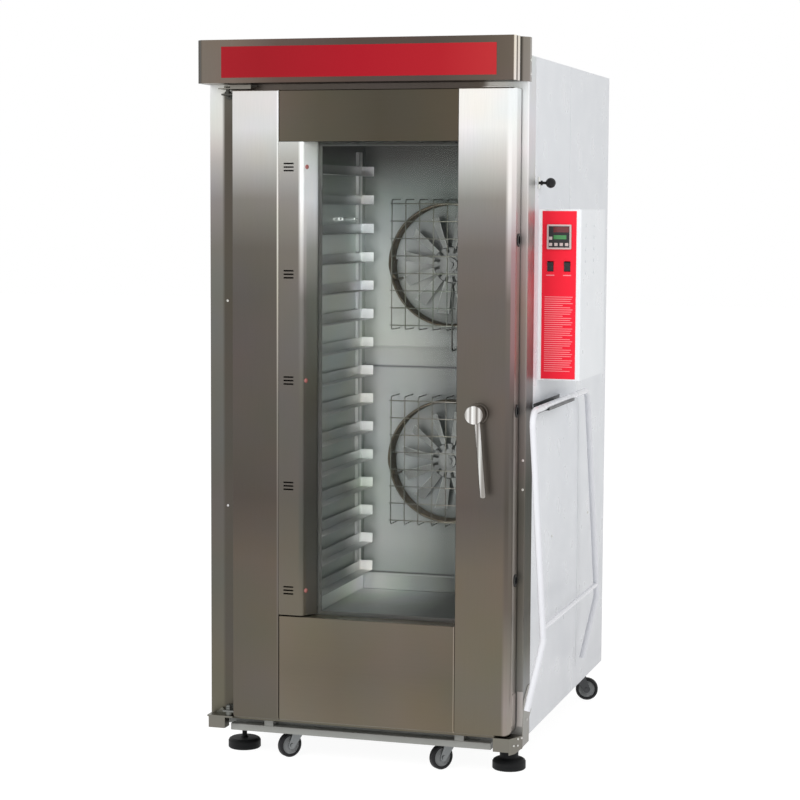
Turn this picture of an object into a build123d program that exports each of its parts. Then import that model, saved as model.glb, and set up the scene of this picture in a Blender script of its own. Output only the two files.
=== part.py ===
from build123d import *
from math import atan2, cos, pi, radians, sin, sqrt
import os

# Tall electric convection oven with a glazed front door, fifteen tray levels,
# two rear fans inside ring heating elements, castors and levelling feet.
# Sizes are in millimetres. While it is being built the oven stands with its
# middle plane at X = 0, the front of its steel frame at Y = 0 and the floor at Z = 0.
# The door side faces -Y. At the end everything moves so that the origin is
# the middle of the footprint on the floor.

# Whole cabinet
body_half = 486.0
body_back = 1168.0
total_height = 2150.0
panel_bottom = 121.0
panel_top = total_height - 51
sheet = 1.5
fit_gap = 0.3

# Front frame and hood
frame_depth = 86.0
hood_front = -94.0
hood_back = 19.0
hood_bottom = panel_top - 74
hood_left = -body_half - 3.5
hood_face_left = -body_half + 10
hood_face_right = body_half - 24
hood_knee_x = body_half - 18
hood_knee_y = -30.0
bead_radius = 7.0
stripe_half = body_half - 73
stripe_bottom = hood_bottom + 15
stripe_top = total_height - 20
stripe_thick = 0.8

# Baking chamber
chamber_half = body_half - 169
chamber_floor = 358.0
chamber_top = panel_top - 194
chamber_back = body_back - 170
liner_flange = 15.0
skirting_height = 52.0
skirting_lip = 10.0
joint_lower = 1127.0
joint_upper = 1191.5

# Tray ladders
tray_levels = 15
first_level = chamber_floor + 92
tray_pitch = (chamber_top - first_level - 119.4) / (tray_levels - 1)
web_height = 32.0
flange_width = 42.0
upright_thick = 10.0
upright_width = 40.0
rail_front = frame_depth + 24
rail_back = chamber_back - 68

# Fans, their guards and the ring elements
fan_height_upper = 1476.0
fan_height_lower = 816.0
guard_wire = 4.0
guard_pitch_x = 48.0
guard_pitch_z = 58.0
guard_columns = 9
guard_rows = 8
guard_overhang = 16.0
guard_front = chamber_back - 99
coil_radius = 203.0
coil_tube = 8.5
coil_pitch = 14.0
coil_turns = 5
coil_front = chamber_back - 84
blade_count = 12
blade_tip = 165.0
blade_root = 40.0
blade_tip_width = 50.0
blade_root_width = 26.0
blade_thick = 2.0
blade_angle = 42.0
blade_middle = chamber_back - 46
wheel_plate_radius = 58.0
shaft_radius = 8.0
shaft_hole = 18.0
motor_radius = 66.0
motor_length = 126.0

# Base, feet and castors
rail_bottom = 85.0
rail_height = 20.0
rail_width = 30.0
rail_left = -body_half + 65
rail_right = body_half - 95
base_bottom = 97.0
foot_left_x = body_half - 59
foot_right_x = body_half - 71
foot_y = 130.0
foot_radius = 50.0
foot_disc = 31.0
foot_stem = 7.5
castor_front_left = -body_half + 250
castor_front_right = body_half - 244
castor_front_y = 80.0
castor_rear_x = body_half - 61
castor_rear_y = body_back - 83
castor_front_turn = 230.0
castor_rear_turn = 10.0
wheel_radius = 37.5
wheel_width = 22.0
castor_trail = 28.0
leg_round = 12.0
axle_radius = 4.0

# Door
door_left = -body_half + 96
door_right = body_half - 21
door_bottom = panel_bottom + 19
door_top = hood_bottom - 20
door_front = -66.0
door_back = -5.0
seam_left = door_left + 144
seam_right = door_right - 169
panel_setback = 2.0
window_bottom = door_bottom + 317
window_top = door_top - 149
glass_thick = 4.0
glass_outer_y = -19.0
corner_round = 22.0
skin_bend = 3.0
skin_roll = 12.0
lamp_bottom = window_bottom + 4
lamp_face_edge = seam_left + 73.5
lamp_inner_edge = seam_left + 103
lamp_bend = 12.0
slot_length = 31.0
slot_height = 4.6
slot_pitch = 10.3
slot_x = seam_left + 31
slot_groups = 5
slot_group_first = window_bottom + 78
slot_group_pitch = (window_top - slot_group_first - 73.8) / (slot_groups - 1)
catch_radius = 17.0
catch_depth = 9.0
catch_y = -26.0

# Door hinges and handle
hinge_x = door_left - 27
hinge_y = -30.0
pin_radius = 6.0
ear_thick = 5.0
ear_tab = 14.0
hinge_plate = door_bottom - 8
ear_lower = panel_bottom + 28
ear_upper = door_top - 13
handle_x = door_right - 103
handle_z = 1080.0
rose_radius = 30.0
rose_thick = 8.0
neck_radius = 13.0
head_radius = 27.0
head_back = -88.0
head_front = -124.0
lever_radius = 8.5
lever_length = 232.0
lever_tilt = 5.0

# Control box on the right side
box_depth = 126.0
box_front = 143.0
box_back = box_front + 349
box_top = panel_top - 435
box_bottom = box_top - 499
fascia_left = body_half + 10
fascia_right = body_half + box_depth - 14.5
fascia_bottom = box_bottom + 4
fascia_top = box_top - 5
fascia_thick = 1.0
controller_size = 72.0
controller_body = 67.0
controller_x = body_half + 61
controller_z = box_top - 80
controller_rim = 6.0
controller_deep = 60.0
switch_width = 19.0
switch_height = 30.0
switch_left_x = body_half + 35
switch_right_x = body_half + 85
switch_z = box_top - 166
switch_rest = 8.0

# Damper knob and flue
knob_y = 130.0
knob_z = box_top + 76
knob_radius = 15.0
knob_out = 36.0
rod_radius = 4.0
rod_inside = 36.0
flue_x = 300.0
flue_y = 250.0
flue_radius = 50.0
flue_height = 45.0

# Tubular side frame
tube_radius = 9.5
tube_bar_z = 1092.0
tube_bar_out = 37.0
tube_knee_out = 67.0
tube_end_out = 31.0
tube_knee_z = 425.0
tube_end_z = 228.0
tube_front_top = -80.0
tube_rear_top = 692.0
tube_knee_shift = 44.0
cross_bar_z = 462.0
cross_bar_radius = 7.0
cradle_front = 92.0
cradle_back = 440.0


def block(x0, x1, y0, y1, z0, z1):
    """Box between two corners."""
    size_x = x1 - x0
    size_y = y1 - y0
    size_z = z1 - z0
    middle = Pos((x0 + x1) / 2, (y0 + y1) / 2, (z0 + z1) / 2)
    return middle * Box(size_x, size_y, size_z)


def rod_x(radius, x0, x1, y, z):
    """Round rod along X."""
    middle = Pos((x0 + x1) / 2, y, z)
    return middle * (Rot(0, 90, 0) * Cylinder(radius, abs(x1 - x0)))


def rod_y(radius, y0, y1, x, z):
    """Round rod along Y."""
    middle = Pos(x, (y0 + y1) / 2, z)
    return middle * (Rot(90, 0, 0) * Cylinder(radius, abs(y1 - y0)))


def rod_z(radius, z0, z1, x, y):
    """Round rod along Z."""
    middle = Pos(x, y, (z0 + z1) / 2)
    return middle * Cylinder(radius, abs(z1 - z0))


def prism_z(points, z0, z1):
    """Upright prism over a plan outline."""
    outline = Polyline(*points, close=True)
    face = make_face(outline)
    return Pos(0, 0, z0) * extrude(face, z1 - z0)


def prism_x(points, x0, x1):
    """Prism along X over an outline given as (y, z) pairs."""
    corners = [(x0, y, z) for y, z in points]
    outline = Polyline(*corners, close=True)
    face = make_face(outline)
    return extrude(face, x1 - x0, dir=(1, 0, 0))


def bent_path(points, radius):
    """Straight runs joined by round bends of one radius."""
    corners = [Vector(*p) for p in points]
    edges = []
    start = corners[0]
    for before, corner, after in zip(corners, corners[1:], corners[2:]):
        way_in = (corner - before).normalized()
        way_out = (after - corner).normalized()
        turn = way_in.get_angle(way_out)
        if turn < 0.5:
            continue
        half = radians(turn) / 2
        setback = radius * sin(half) / cos(half)
        bend_in = corner - way_in * setback
        bend_out = corner + way_out * setback
        inward = (way_out - way_in).normalized()
        bend_mid = corner + inward * (radius / cos(half) - radius)
        edges.append(Line(start, bend_in))
        edges.append(ThreePointArc(bend_in, bend_mid, bend_out))
        start = bend_out
    edges.append(Line(start, corners[-1]))
    return Wire(edges)


def tube_along(path, radius):
    """Round bar swept along a path."""
    section = Plane(origin=path @ 0, z_dir=path % 0) * Circle(radius)
    return sweep(section, path=path)


def side_panel(side):
    """White side wall, a sheet folded inward on all four edges."""
    outer = block(body_half - 20, body_half, frame_depth, body_back, panel_bottom, panel_top)
    inner = block(
        body_half - 21,
        body_half - sheet,
        frame_depth + sheet,
        body_back - sheet,
        panel_bottom + sheet,
        panel_top - sheet,
    )
    panel = outer - inner
    if side > 0:
        # Fine grooves mark the service cover low down and the joint above it.
        deep = 0.7
        wide = 2.5
        cover_back = 735.0
        cover_top = 1077.0
        cover_bottom = 189.0
        x0 = body_half - deep
        panel -= block(x0, body_half + 1, cover_back, cover_back + wide, cover_bottom, cover_top)
        panel -= block(x0, body_half + 1, frame_depth - 1, cover_back + wide, cover_top, cover_top + wide)
        panel -= block(x0, body_half + 1, 557, 557 + wide, box_top, panel_top + 1)
        panel -= rod_x(rod_radius + 3, body_half - 3, body_half + 1, knob_y, knob_z)
        return panel
    return mirror(panel, Plane.YZ)


def front_frame():
    """Steel front frame with a folded edge all round and a collar at the chamber mouth."""
    outer = block(-body_half, body_half, 0, frame_depth, panel_bottom, panel_top)
    outer = fillet(outer.edges().filter_by(Axis.Z).sort_by(Axis.Y)[:2], skin_bend)
    inner = block(
        -body_half + sheet,
        body_half - sheet,
        sheet,
        frame_depth + 1,
        panel_bottom + sheet,
        panel_top - sheet,
    )
    inner = fillet(inner.edges().filter_by(Axis.Z).sort_by(Axis.Y)[:2], skin_bend - sheet)
    mouth_bottom = chamber_floor - sheet - 0.5
    collar = block(
        -chamber_half - sheet,
        chamber_half + sheet,
        0,
        frame_depth,
        mouth_bottom - sheet,
        chamber_top + sheet,
    )
    mouth = block(-chamber_half, chamber_half, -1, frame_depth + 1, mouth_bottom, chamber_top)
    ledge = block(door_right - 113, door_right - 22, -22, 0, door_top + 4, door_top + 7)
    return (outer - inner) + collar - mouth + ledge


def hood():
    """Box-shaped hood with folded ends, lapping over the top of the frame."""
    side = body_half + fit_gap + sheet
    corners = [
        (hood_left, hood_back),
        (hood_left, hood_front + 13),
        (hood_face_left, hood_front),
        (hood_face_right, hood_front),
        (hood_knee_x, hood_knee_y),
        (side, -2),
        (side, hood_back),
    ]
    plan = make_face(Polyline(*corners, close=True))
    hollow = offset(plan, -sheet, kind=Kind.INTERSECTION)
    up = (0, 0, 1)
    shell = Pos(0, 0, hood_bottom) * extrude(plan, total_height - hood_bottom, dir=up)
    inside = total_height - hood_bottom - 2 * sheet
    shell -= Pos(0, 0, hood_bottom + sheet) * extrude(hollow, inside, dir=up)
    notch = block(
        -body_half - fit_gap,
        body_half + fit_gap,
        -fit_gap,
        hood_back + 1,
        hood_bottom - 1,
        panel_top + fit_gap,
    )
    # Two half-round beads stiffen the right end.
    beads = []
    for share in (0.2, 0.68):
        x = hood_face_right + share * (hood_knee_x - hood_face_right)
        y = hood_front + share * (hood_knee_y - hood_front)
        beads.append(rod_z(bead_radius, hood_bottom, total_height, x - 3, y))
    return shell - notch + beads


def liner_side(side):
    """Chamber side wall with its edges folded away from the chamber."""
    x1 = chamber_half + liner_flange
    bottom = chamber_floor - sheet - liner_flange
    top = chamber_top + liner_flange
    outer = block(chamber_half, x1, frame_depth, chamber_back, bottom, top)
    inner = block(
        chamber_half + sheet,
        x1 + 1,
        frame_depth + sheet,
        chamber_back - sheet,
        bottom + sheet,
        top - sheet,
    )
    wall = outer - inner
    wall -= block(
        chamber_half - 1,
        chamber_half + 0.7,
        frame_depth - 1,
        chamber_back + 1,
        joint_lower,
        joint_lower + 3,
    )
    if side > 0:
        return wall
    return mirror(wall, Plane.YZ)


def liner_back():
    """Chamber rear wall, drilled for both fan shafts."""
    half = chamber_half + liner_flange
    bottom = chamber_floor - sheet - liner_flange
    top = chamber_top + liner_flange
    y1 = chamber_back + liner_flange
    wall = block(-half, half, chamber_back, y1, bottom, top)
    wall -= block(
        -half + sheet,
        half - sheet,
        chamber_back + sheet,
        y1 + 1,
        bottom + sheet,
        top - sheet,
    )
    for height in (fan_height_upper, fan_height_lower):
        wall -= rod_y(shaft_hole, chamber_back - 1, chamber_back + 5, 0, height)
    # Two level folds cross the wall between the fans.
    for height in (joint_lower, joint_upper):
        wall -= block(-half, half, chamber_back - 1, chamber_back + 0.7, height, height + 3)
    return wall


def liner_top():
    """Chamber ceiling, folded up at its edges."""
    half = chamber_half
    outer = block(-half, half, frame_depth, chamber_back, chamber_top, chamber_top + liner_flange)
    inner = block(
        -half + sheet,
        half - sheet,
        frame_depth + sheet,
        chamber_back - sheet,
        chamber_top + sheet,
        chamber_top + liner_flange + 1,
    )
    return outer - inner


def floor_pan():
    """Chamber floor with its skirting folded up along three walls."""
    half = chamber_half - fit_gap
    y0 = frame_depth + fit_gap
    y1 = chamber_back - fit_gap
    bottom = chamber_floor - sheet
    pan = block(-half, half, y0, y1, bottom, chamber_floor + skirting_height)
    pan -= block(
        -half + sheet,
        half - sheet,
        y0 + sheet,
        y1 - sheet,
        chamber_floor,
        chamber_floor + skirting_height + 1,
    )
    front_cut = block(
        -half + sheet,
        half - sheet,
        y0 - 1,
        y0 + sheet + 1,
        chamber_floor + skirting_lip,
        chamber_floor + skirting_height + 1,
    )
    return pan - front_cut


def tray_ladder(side):
    """Two uprights carrying fifteen angle rails, each with a stop at its rear end."""
    wall = chamber_half - fit_gap
    web_x = wall - upright_thick
    parts = []
    low = first_level - web_height
    high = first_level + (tray_levels - 1) * tray_pitch + 2 * web_height
    for y0 in (rail_front + 60, rail_back - 36):
        parts.append(block(web_x, wall, y0, y0 + upright_width, low, high))
    for level in range(tray_levels):
        middle = first_level + level * tray_pitch
        shelf = middle - web_height / 2
        top = middle + web_height / 2
        parts.append(block(web_x - flange_width, web_x, rail_front, rail_back, shelf, shelf + sheet))
        parts.append(block(web_x - sheet, web_x, rail_front, rail_back, shelf + sheet, top))
        parts.append(
            block(
                web_x - flange_width,
                web_x - sheet,
                rail_back - sheet,
                rail_back,
                shelf + sheet,
                top,
            )
        )
    ladder = Compound(children=parts)
    if side > 0:
        return ladder
    return Compound(children=[mirror(piece, Plane.YZ) for piece in parts])


def fan_guard(height):
    """Wire guard: a flat net in front, with legs back to the wall above and below."""
    half_x = guard_pitch_x * (guard_columns - 1) / 2
    half_net = guard_pitch_z * (guard_rows - 1) / 2
    half_z = half_net + guard_overhang
    wire = guard_wire
    r = wire / 2
    y0 = guard_front
    y1 = guard_front + wire
    sheet_net = block(-half_x - r, half_x + r, y0, y1, height - half_z, height + half_z)
    holes = []
    row_edges = [-half_z]
    for row in range(guard_rows):
        level = -half_net + row * guard_pitch_z
        row_edges.append(level)
    row_edges.append(half_z)
    for column in range(guard_columns - 1):
        x0 = -half_x + column * guard_pitch_x + r
        x1 = x0 + guard_pitch_x - wire
        for index, (low, high) in enumerate(zip(row_edges, row_edges[1:])):
            z0 = low + r
            z1 = high - r
            if index == 0:
                z0 = low - 1
            if index == guard_rows:
                z1 = high + 1
            holes.append(block(x0, x1, y0 - 1, y1 + 1, height + z0, height + z1))
    net = sheet_net - holes
    legs = []
    for column in range(guard_columns):
        x = -half_x + column * guard_pitch_x
        legs.append(block(x - r, x + r, y1, chamber_back, height + half_z - wire, height + half_z))
        legs.append(block(x - r, x + r, y1, chamber_back, height - half_z, height - half_z + wire))
    for level in (height + half_z, height - half_z - wire):
        legs.append(
            block(-half_x - r, half_x + r, chamber_back - wire - 1, chamber_back - 1, level, level + wire)
        )
    return net + legs


def ring_element(height):
    """Tubular heater wound as a ring of turns, with both ends led to the rear wall."""
    r = coil_tube / 2
    bend = 12.0
    turns_deep = coil_turns * coil_pitch
    back = coil_front + turns_deep

    def on_ring(angle, y):
        return Vector(coil_radius * cos(angle), y, height + coil_radius * sin(angle))

    edges = []
    first = on_ring(pi, back)
    lead_top = first + Vector(0, bend, bend)
    lead_mid = first + Vector(0, bend * (1 - sqrt(0.5)), bend * sqrt(0.5))
    wall_end = Vector(lead_top.X, chamber_back, lead_top.Z)
    edges.append(Line(wall_end, lead_top))
    edges.append(ThreePointArc(lead_top, lead_mid, first))
    count = coil_turns * 2
    for half in range(count):
        start_angle = pi + half * pi
        y0 = back - half * coil_pitch / 2
        y1 = y0 - coil_pitch / 2
        edges.append(
            ThreePointArc(
                on_ring(start_angle, y0),
                on_ring(start_angle + pi / 2, (y0 + y1) / 2),
                on_ring(start_angle + pi, y1),
            )
        )
    # The last stretch curls inward and runs straight back inside the ring.
    curl = 60.0
    curl_turn = radians(40)
    last = on_ring(pi, coil_front)
    middle = last + Vector(curl, 0, 0)
    curl_mid = middle + Vector(-curl * cos(curl_turn / 2), 0, -curl * sin(curl_turn / 2))
    curl_end = middle + Vector(-curl * cos(curl_turn), 0, -curl * sin(curl_turn))
    edges.append(ThreePointArc(last, curl_mid, curl_end))
    heading = Vector(sin(curl_turn), 0, -cos(curl_turn))
    corner_mid = curl_end + heading * (bend * sqrt(0.5)) + Vector(0, bend * (1 - sqrt(0.5)), 0)
    corner_end = curl_end + heading * bend + Vector(0, bend, 0)
    edges.append(ThreePointArc(curl_end, corner_mid, corner_end))
    edges.append(Line(corner_end, Vector(corner_end.X, chamber_back, corner_end.Z)))
    path = Wire(edges)
    return tube_along(path, r)


def fan_motor(height):
    """Round motor on a square flange behind the rear wall."""
    y0 = chamber_back + sheet
    flange = block(-80, 80, y0, y0 + 5, height - 80, height + 80)
    flange = fillet(flange.edges().filter_by(Axis.Y), 14)
    body = rod_y(motor_radius, y0 + 5, y0 + motor_length, 0, height)
    body = fillet(body.edges().sort_by(Axis.Y)[-1], 8)
    ribs = []
    for index in range(8):
        y = y0 + 22 + index * 10
        ribs.append(rod_y(motor_radius + 3, y, y + 4, 0, height))
    return flange + body + ribs


def fan_wheel(height):
    """Wheel with twelve straight slanted blades on a round plate, and its shaft."""
    span = blade_tip - blade_root
    outline = [
        (blade_root, -blade_root_width / 2),
        (blade_tip, -blade_tip_width / 2),
        (blade_tip, blade_tip_width / 2),
        (blade_root, blade_root_width / 2),
    ]
    blade = make_face(Polyline(*outline, close=True))
    blade = Pos(0, 0, -blade_thick / 2) * extrude(blade, blade_thick)
    # The blade lies along X with its width along Y, then slants about its own length.
    blade = Rot(blade_angle, 0, 0) * blade
    blades = []
    for index in range(blade_count):
        angle = 20 + index * 360 / blade_count
        blades.append(Rot(0, -angle, 0) * blade)
    plate = Rot(90, 0, 0) * Cylinder(wheel_plate_radius, 4)
    boss = Pos(0, 6, 0) * (Rot(90, 0, 0) * Cylinder(24, 36))
    cap = Pos(0, -14, 0) * (Rot(90, 0, 0) * Cylinder(12, 8))
    wheel = plate + boss + cap + blades
    wheel = Pos(0, blade_middle, height) * wheel
    shaft = rod_y(shaft_radius, blade_middle, chamber_back + sheet - fit_gap, 0, height)
    return wheel + shaft


def steam_tube():
    """Thin water pipe that rises in front of the upper guard and points at the hub."""
    x = guard_pitch_x / 2
    out = guard_front - 16
    low = fan_height_upper - 283
    high = fan_height_upper - 72
    points = [
        (x, chamber_back, low),
        (x, out, low),
        (x, out, high),
        (x, guard_front + 14, high + 12),
    ]
    pipe = tube_along(bent_path(points, 12), 3)
    washer = rod_y(8, chamber_back - 2, chamber_back, x, low)
    return pipe + washer


def probe():
    """Thermostat bulb held along the left chamber wall by two clips."""
    z = first_level + 12 * tray_pitch + 33
    x = -chamber_half + 8
    bulb = rod_y(3.5, 690, 880, x, z)
    parts = [bulb]
    for y in (720, 850):
        parts.append(block(-chamber_half, x + 4.5, y - 5, y + 5, z - 5.5, z + 5.5))
    return bulb + parts[1:]


def base_frame():
    """Underside tray with front rail, spacers and pads for feet and castors."""
    deck_y0 = 36.0
    deck_low = panel_bottom - 4
    deck_half = body_half - 6
    beam_half = body_half - 36
    deck = block(-deck_half, deck_half, deck_y0, body_back - 8, deck_low, panel_bottom)
    front_beam = block(-beam_half, beam_half, deck_y0, deck_y0 + 130, base_bottom, deck_low)
    rear_y = castor_rear_y
    rear_beam = block(-beam_half, beam_half, rear_y - 45, rear_y + 45, base_bottom, deck_low)
    sides = []
    for x0 in (-beam_half, beam_half - 30):
        sides.append(block(x0, x0 + 30, deck_y0, body_back - 8, base_bottom, deck_low))
    rail_top = rail_bottom + rail_height
    rail = block(rail_left, rail_right, -3, -3 + rail_width, rail_bottom, rail_top)
    rail = fillet(rail.edges().filter_by(Axis.X), 2)
    bridge = block(rail_left + 40, rail_right - 40, -3 + rail_width - 4, deck_y0, base_bottom, rail_top)
    spacers = []
    for x0 in (rail_left + 107, rail_right - 110):
        spacers.append(block(x0, x0 + 28, -1, rail_width - 6, rail_top, panel_bottom))
    pads = []
    for x, y, turn in castors.values():
        pads.append(castor_pad(x, y))
    return deck + front_beam + rear_beam + sides + rail + bridge + spacers + pads


def castor_pad(x, y):
    """Mounting plate and bearing ring of one castor."""
    plate = block(x - 34, x + 34, y - 30, y + 30, base_bottom - 3, base_bottom)
    ring = rod_z(22, 86 + fit_gap, base_bottom - 3, x, y)
    return plate + ring


def foot(side):
    """Levelling foot: round disc, stem, and on the right a tapered boot."""
    x = foot_right_x if side > 0 else -foot_left_x
    top = base_bottom
    profile = [
        (0, 0),
        (foot_radius - 3, 0),
        (foot_radius, 3),
        (foot_radius, foot_disc - 8),
        (foot_radius - 3, foot_disc - 3),
        (foot_radius - 8, foot_disc),
    ]
    if side > 0:
        profile += [(28, foot_disc + 3), (28, foot_disc + 18), (35, top - 1), (35, top), (0, top)]
    else:
        profile += [(14, foot_disc + 1), (foot_stem, foot_disc + 5), (foot_stem, top), (0, top)]
    corners = [(r, 0, z) for r, z in profile]
    face = make_face(Polyline(*corners, close=True))
    solid = revolve(face, Axis.Z)
    return Pos(x, foot_y, 0) * solid


def castor_fork(x, y, turn):
    """Swivel fork with its axle. The wheel trails behind the swivel."""
    inside = wheel_width / 2 + 1.5
    outside = inside + 3
    crown_top = 86.0
    crown_low = 79.0
    crown = Pos(0, 0, (crown_top + crown_low) / 2) * Cylinder(23, crown_top - crown_low)
    bridge = block(-19, 19, -outside, outside, crown_low, crown_low + 3)
    legs = []
    for low, high in ((inside, outside), (-outside, -inside)):
        outline = [
            (-21, crown_low + 3),
            (22, crown_low + 3),
            (castor_trail + leg_round - 0.5, wheel_radius + 3.5),
            (castor_trail, wheel_radius - 2),
            (castor_trail - leg_round + 0.5, wheel_radius - 3.5),
        ]
        corners = [(u, low, z) for u, z in outline]
        face = make_face(Polyline(*corners, close=True))
        legs.append(extrude(face, high - low, dir=(0, 1, 0)))
        legs.append(rod_y(leg_round, low, high, castor_trail, wheel_radius))
    axle = rod_y(axle_radius, -outside - 2, outside + 2, castor_trail, wheel_radius)
    heads = []
    for low, high in ((outside, outside + 4), (-outside - 4, -outside)):
        heads.append(rod_y(6.5, low, high, castor_trail, wheel_radius))
    fork = crown + bridge + legs + axle + heads
    return Pos(x, y, 0) * (Rot(0, 0, turn) * fork)


def castor_wheel(x, y, turn):
    """Castor wheel with a dished hub and a bore that clears the axle."""
    half = wheel_width / 2
    bore = axle_radius + fit_gap
    profile = [
        (bore, -half),
        (13, -half),
        (13, -half + 4),
        (27, -half + 4),
        (29, -half),
        (wheel_radius - 3, -half),
        (wheel_radius, -half + 4),
        (wheel_radius, half - 4),
        (wheel_radius - 3, half),
        (29, half),
        (27, half - 4),
        (13, half - 4),
        (13, half),
        (bore, half),
    ]
    corners = [(r, u, 0) for r, u in profile]
    face = make_face(Polyline(*corners, close=True))
    wheel = revolve(face, Axis.Y)
    wheel = Pos(castor_trail, 0, wheel_radius) * wheel
    return Pos(x, y, 0) * (Rot(0, 0, turn) * wheel)


def corner_bracket():
    """Lower right corner piece under the door, with its side cheek and face strip."""
    left = body_half - 73
    edge = body_half - 26
    top = door_bottom - 3
    plan = [
        (left, door_front + 2),
        (edge, door_front + 2),
        (body_half, -8),
        (body_half, 0),
        (left, 0),
    ]
    block_piece = prism_z(plan, base_bottom, top)
    # A bent plate wraps the slanted corner and hangs a little below it.
    wrap_low = base_bottom - 8
    run_x = body_half - edge
    run_y = -8 - (door_front + 2)
    length = sqrt(run_x * run_x + run_y * run_y)
    out_x = 2 * run_y / length
    out_y = -2 * run_x / length
    wrap = [
        (edge, door_front + 2),
        (edge + out_x, door_front + 2 + out_y),
        (body_half + 2, -8),
        (body_half + 2, 0),
        (body_half, 0),
        (body_half, -8),
    ]
    wrap_piece = prism_z(wrap, wrap_low, top)
    slope = [(-42, wrap_low - 1), (30, wrap_low - 1), (30, base_bottom + 17)]
    wrap_piece -= prism_x(slope, edge - 5, body_half + 5)
    cheek = [
        (-1, base_bottom + 5),
        (72, base_bottom + 5),
        (72, 172),
        (100, 190),
        (100, 212),
        (74, 272),
        (54, 272),
        (4, 240),
        (-8, 165),
        (-8, top - 8),
        (-1, top - 8),
    ]
    side_plate = prism_x(cheek, body_half, body_half + 2)
    face_strip = block(door_right + 4, body_half, -2, 0, 161, 264)
    return block_piece + wrap_piece + side_plate + face_strip


def hinge_bracket_lower():
    """Lower left corner block with the plate that carries the door pin."""
    left = -body_half + 5
    right = -body_half + 58
    top = hinge_plate
    front = hinge_y - 8
    block_piece = block(left, right, front, 0, base_bottom, top)
    block_piece = fillet(block_piece.edges().filter_by(Axis.Z).sort_by(Axis.Y)[:2], 3)
    plate = block(left, door_left - 10, hinge_y - 16, hinge_y + 17, top, top + 5)
    plate -= rod_z(pin_radius + fit_gap, top - 1, top + 6, hinge_x, hinge_y)
    rib_points = [(left + 14, top + 5), (left + 50, top + 5), (left + 34, top + 22)]
    corners = [(x, -6, z) for x, z in rib_points]
    rib = extrude(make_face(Polyline(*corners, close=True)), 3, dir=(0, -1, 0))
    rib_foot = block(left + 14, left + 50, hinge_y + 17, -3, top, top + 5)
    return block_piece + plate + rib_foot + rib


def hinge_bracket_upper():
    """Upper hinge plate fixed under the hood."""
    left = hinge_x - 23
    right = hinge_x + 79
    low = door_top + 5
    front = hinge_y - 20
    plate = block(left, right, front, 0, low, low + 3)
    plate -= rod_z(pin_radius + fit_gap, low - 1, low + 4, hinge_x, hinge_y)
    lip = block(hinge_x + 15, right, front, front + 2, low + 3, low + 12)
    back = block(left, right, -3, 0, low + 3, low + 13)
    return plate + lip + back


def rolled_block(x0, x1, y0, y1, z0, z1, roll, bend, corner=0.0):
    """Block with a rolled lower front edge and small bends at its other front edges."""
    body = block(x0, x1, y0, y1, z0, z1)
    if corner > 0:
        right = body.edges().filter_by(Axis.Y).sort_by(Axis.X)[-2:]
        body = fillet(right.sort_by(Axis.Z)[0], corner)
    face = body.faces().sort_by(Axis.Y)[0]
    body = fillet(face.edges().sort_by(Axis.Z)[0], roll)
    face = body.faces().sort_by(Axis.Y)[0]
    upright = face.edges().filter_by(Axis.Z).sort_by(Axis.X)
    if corner > 0:
        upright = upright[:1]
    top = face.edges().sort_by(Axis.Z)[-1]
    return fillet(list(upright) + [top], bend)


def door_trough(x0, x1, z0, z1, y0, roll, corner=0.0):
    """Door skin piece folded back on its four edges and open behind."""
    back = door_back - sheet
    outer = rolled_block(x0, x1, y0, back, z0, z1, roll, skin_bend, corner)
    inner_corner = corner - sheet if corner > 0 else 0.0
    inner = rolled_block(
        x0 + sheet,
        x1 - sheet,
        y0 + sheet,
        back + 1,
        z0 + sheet,
        z1 - sheet,
        roll - sheet,
        skin_bend - sheet,
        inner_corner,
    )
    return outer - inner


def door_skin_left():
    return door_trough(door_left, seam_left, door_bottom, door_top, door_front, skin_roll)


def door_skin_right():
    """Right door skin with a rounded lower corner, catch holes and the handle rose."""
    back = door_back - sheet
    skin = door_trough(
        seam_right, door_right, door_bottom, door_top, door_front, skin_roll, corner_round
    )
    for height in catch_heights():
        skin -= rod_x(catch_radius - 2, door_right - 3, door_right + 1, catch_y, height)
    patch = block(door_right, door_right + 1.5, door_front + 14, back - 3, 172, 264)
    rose = rod_y(rose_radius, door_front - rose_thick, door_front, handle_x, handle_z)
    rose = fillet(rose.edges().sort_by(Axis.Y)[0], 3)
    return skin + patch + rose


def catch_heights():
    """Heights of the three catches on the door edge."""
    return [595.0, 1087.0, 1576.0]


def door_catches():
    """Three round catch cups set behind the holes in the door edge."""
    cups = []
    for height in catch_heights():
        x1 = door_right - sheet
        cup = rod_x(catch_radius, x1 - catch_depth, x1, catch_y, height)
        hollow = rod_x(catch_radius - 5, x1 - catch_depth + 3, x1 + 1, catch_y, height)
        roller = rod_z(4, height - 8, height + 8, x1 - 4.5, catch_y)
        rim = rod_x(catch_radius + 2, door_right, door_right + 3, catch_y, height)
        throat = rod_x(catch_radius - 2.3, x1, door_right, catch_y, height)
        bore = rod_x(catch_radius - 5, x1 - 1, door_right + 4, catch_y, height)
        cups.append((cup - hollow) + ((rim + throat) - bore) + roller)
    return Compound(children=cups)


def door_panel_top():
    x0 = seam_left + fit_gap
    x1 = seam_right - fit_gap
    return door_trough(x0, x1, window_top, door_top, door_front + panel_setback, skin_bend)


def door_panel_bottom():
    x0 = seam_left + fit_gap
    x1 = seam_right - fit_gap
    return door_trough(x0, x1, door_bottom, window_bottom, door_front + panel_setback, skin_roll)


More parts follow.
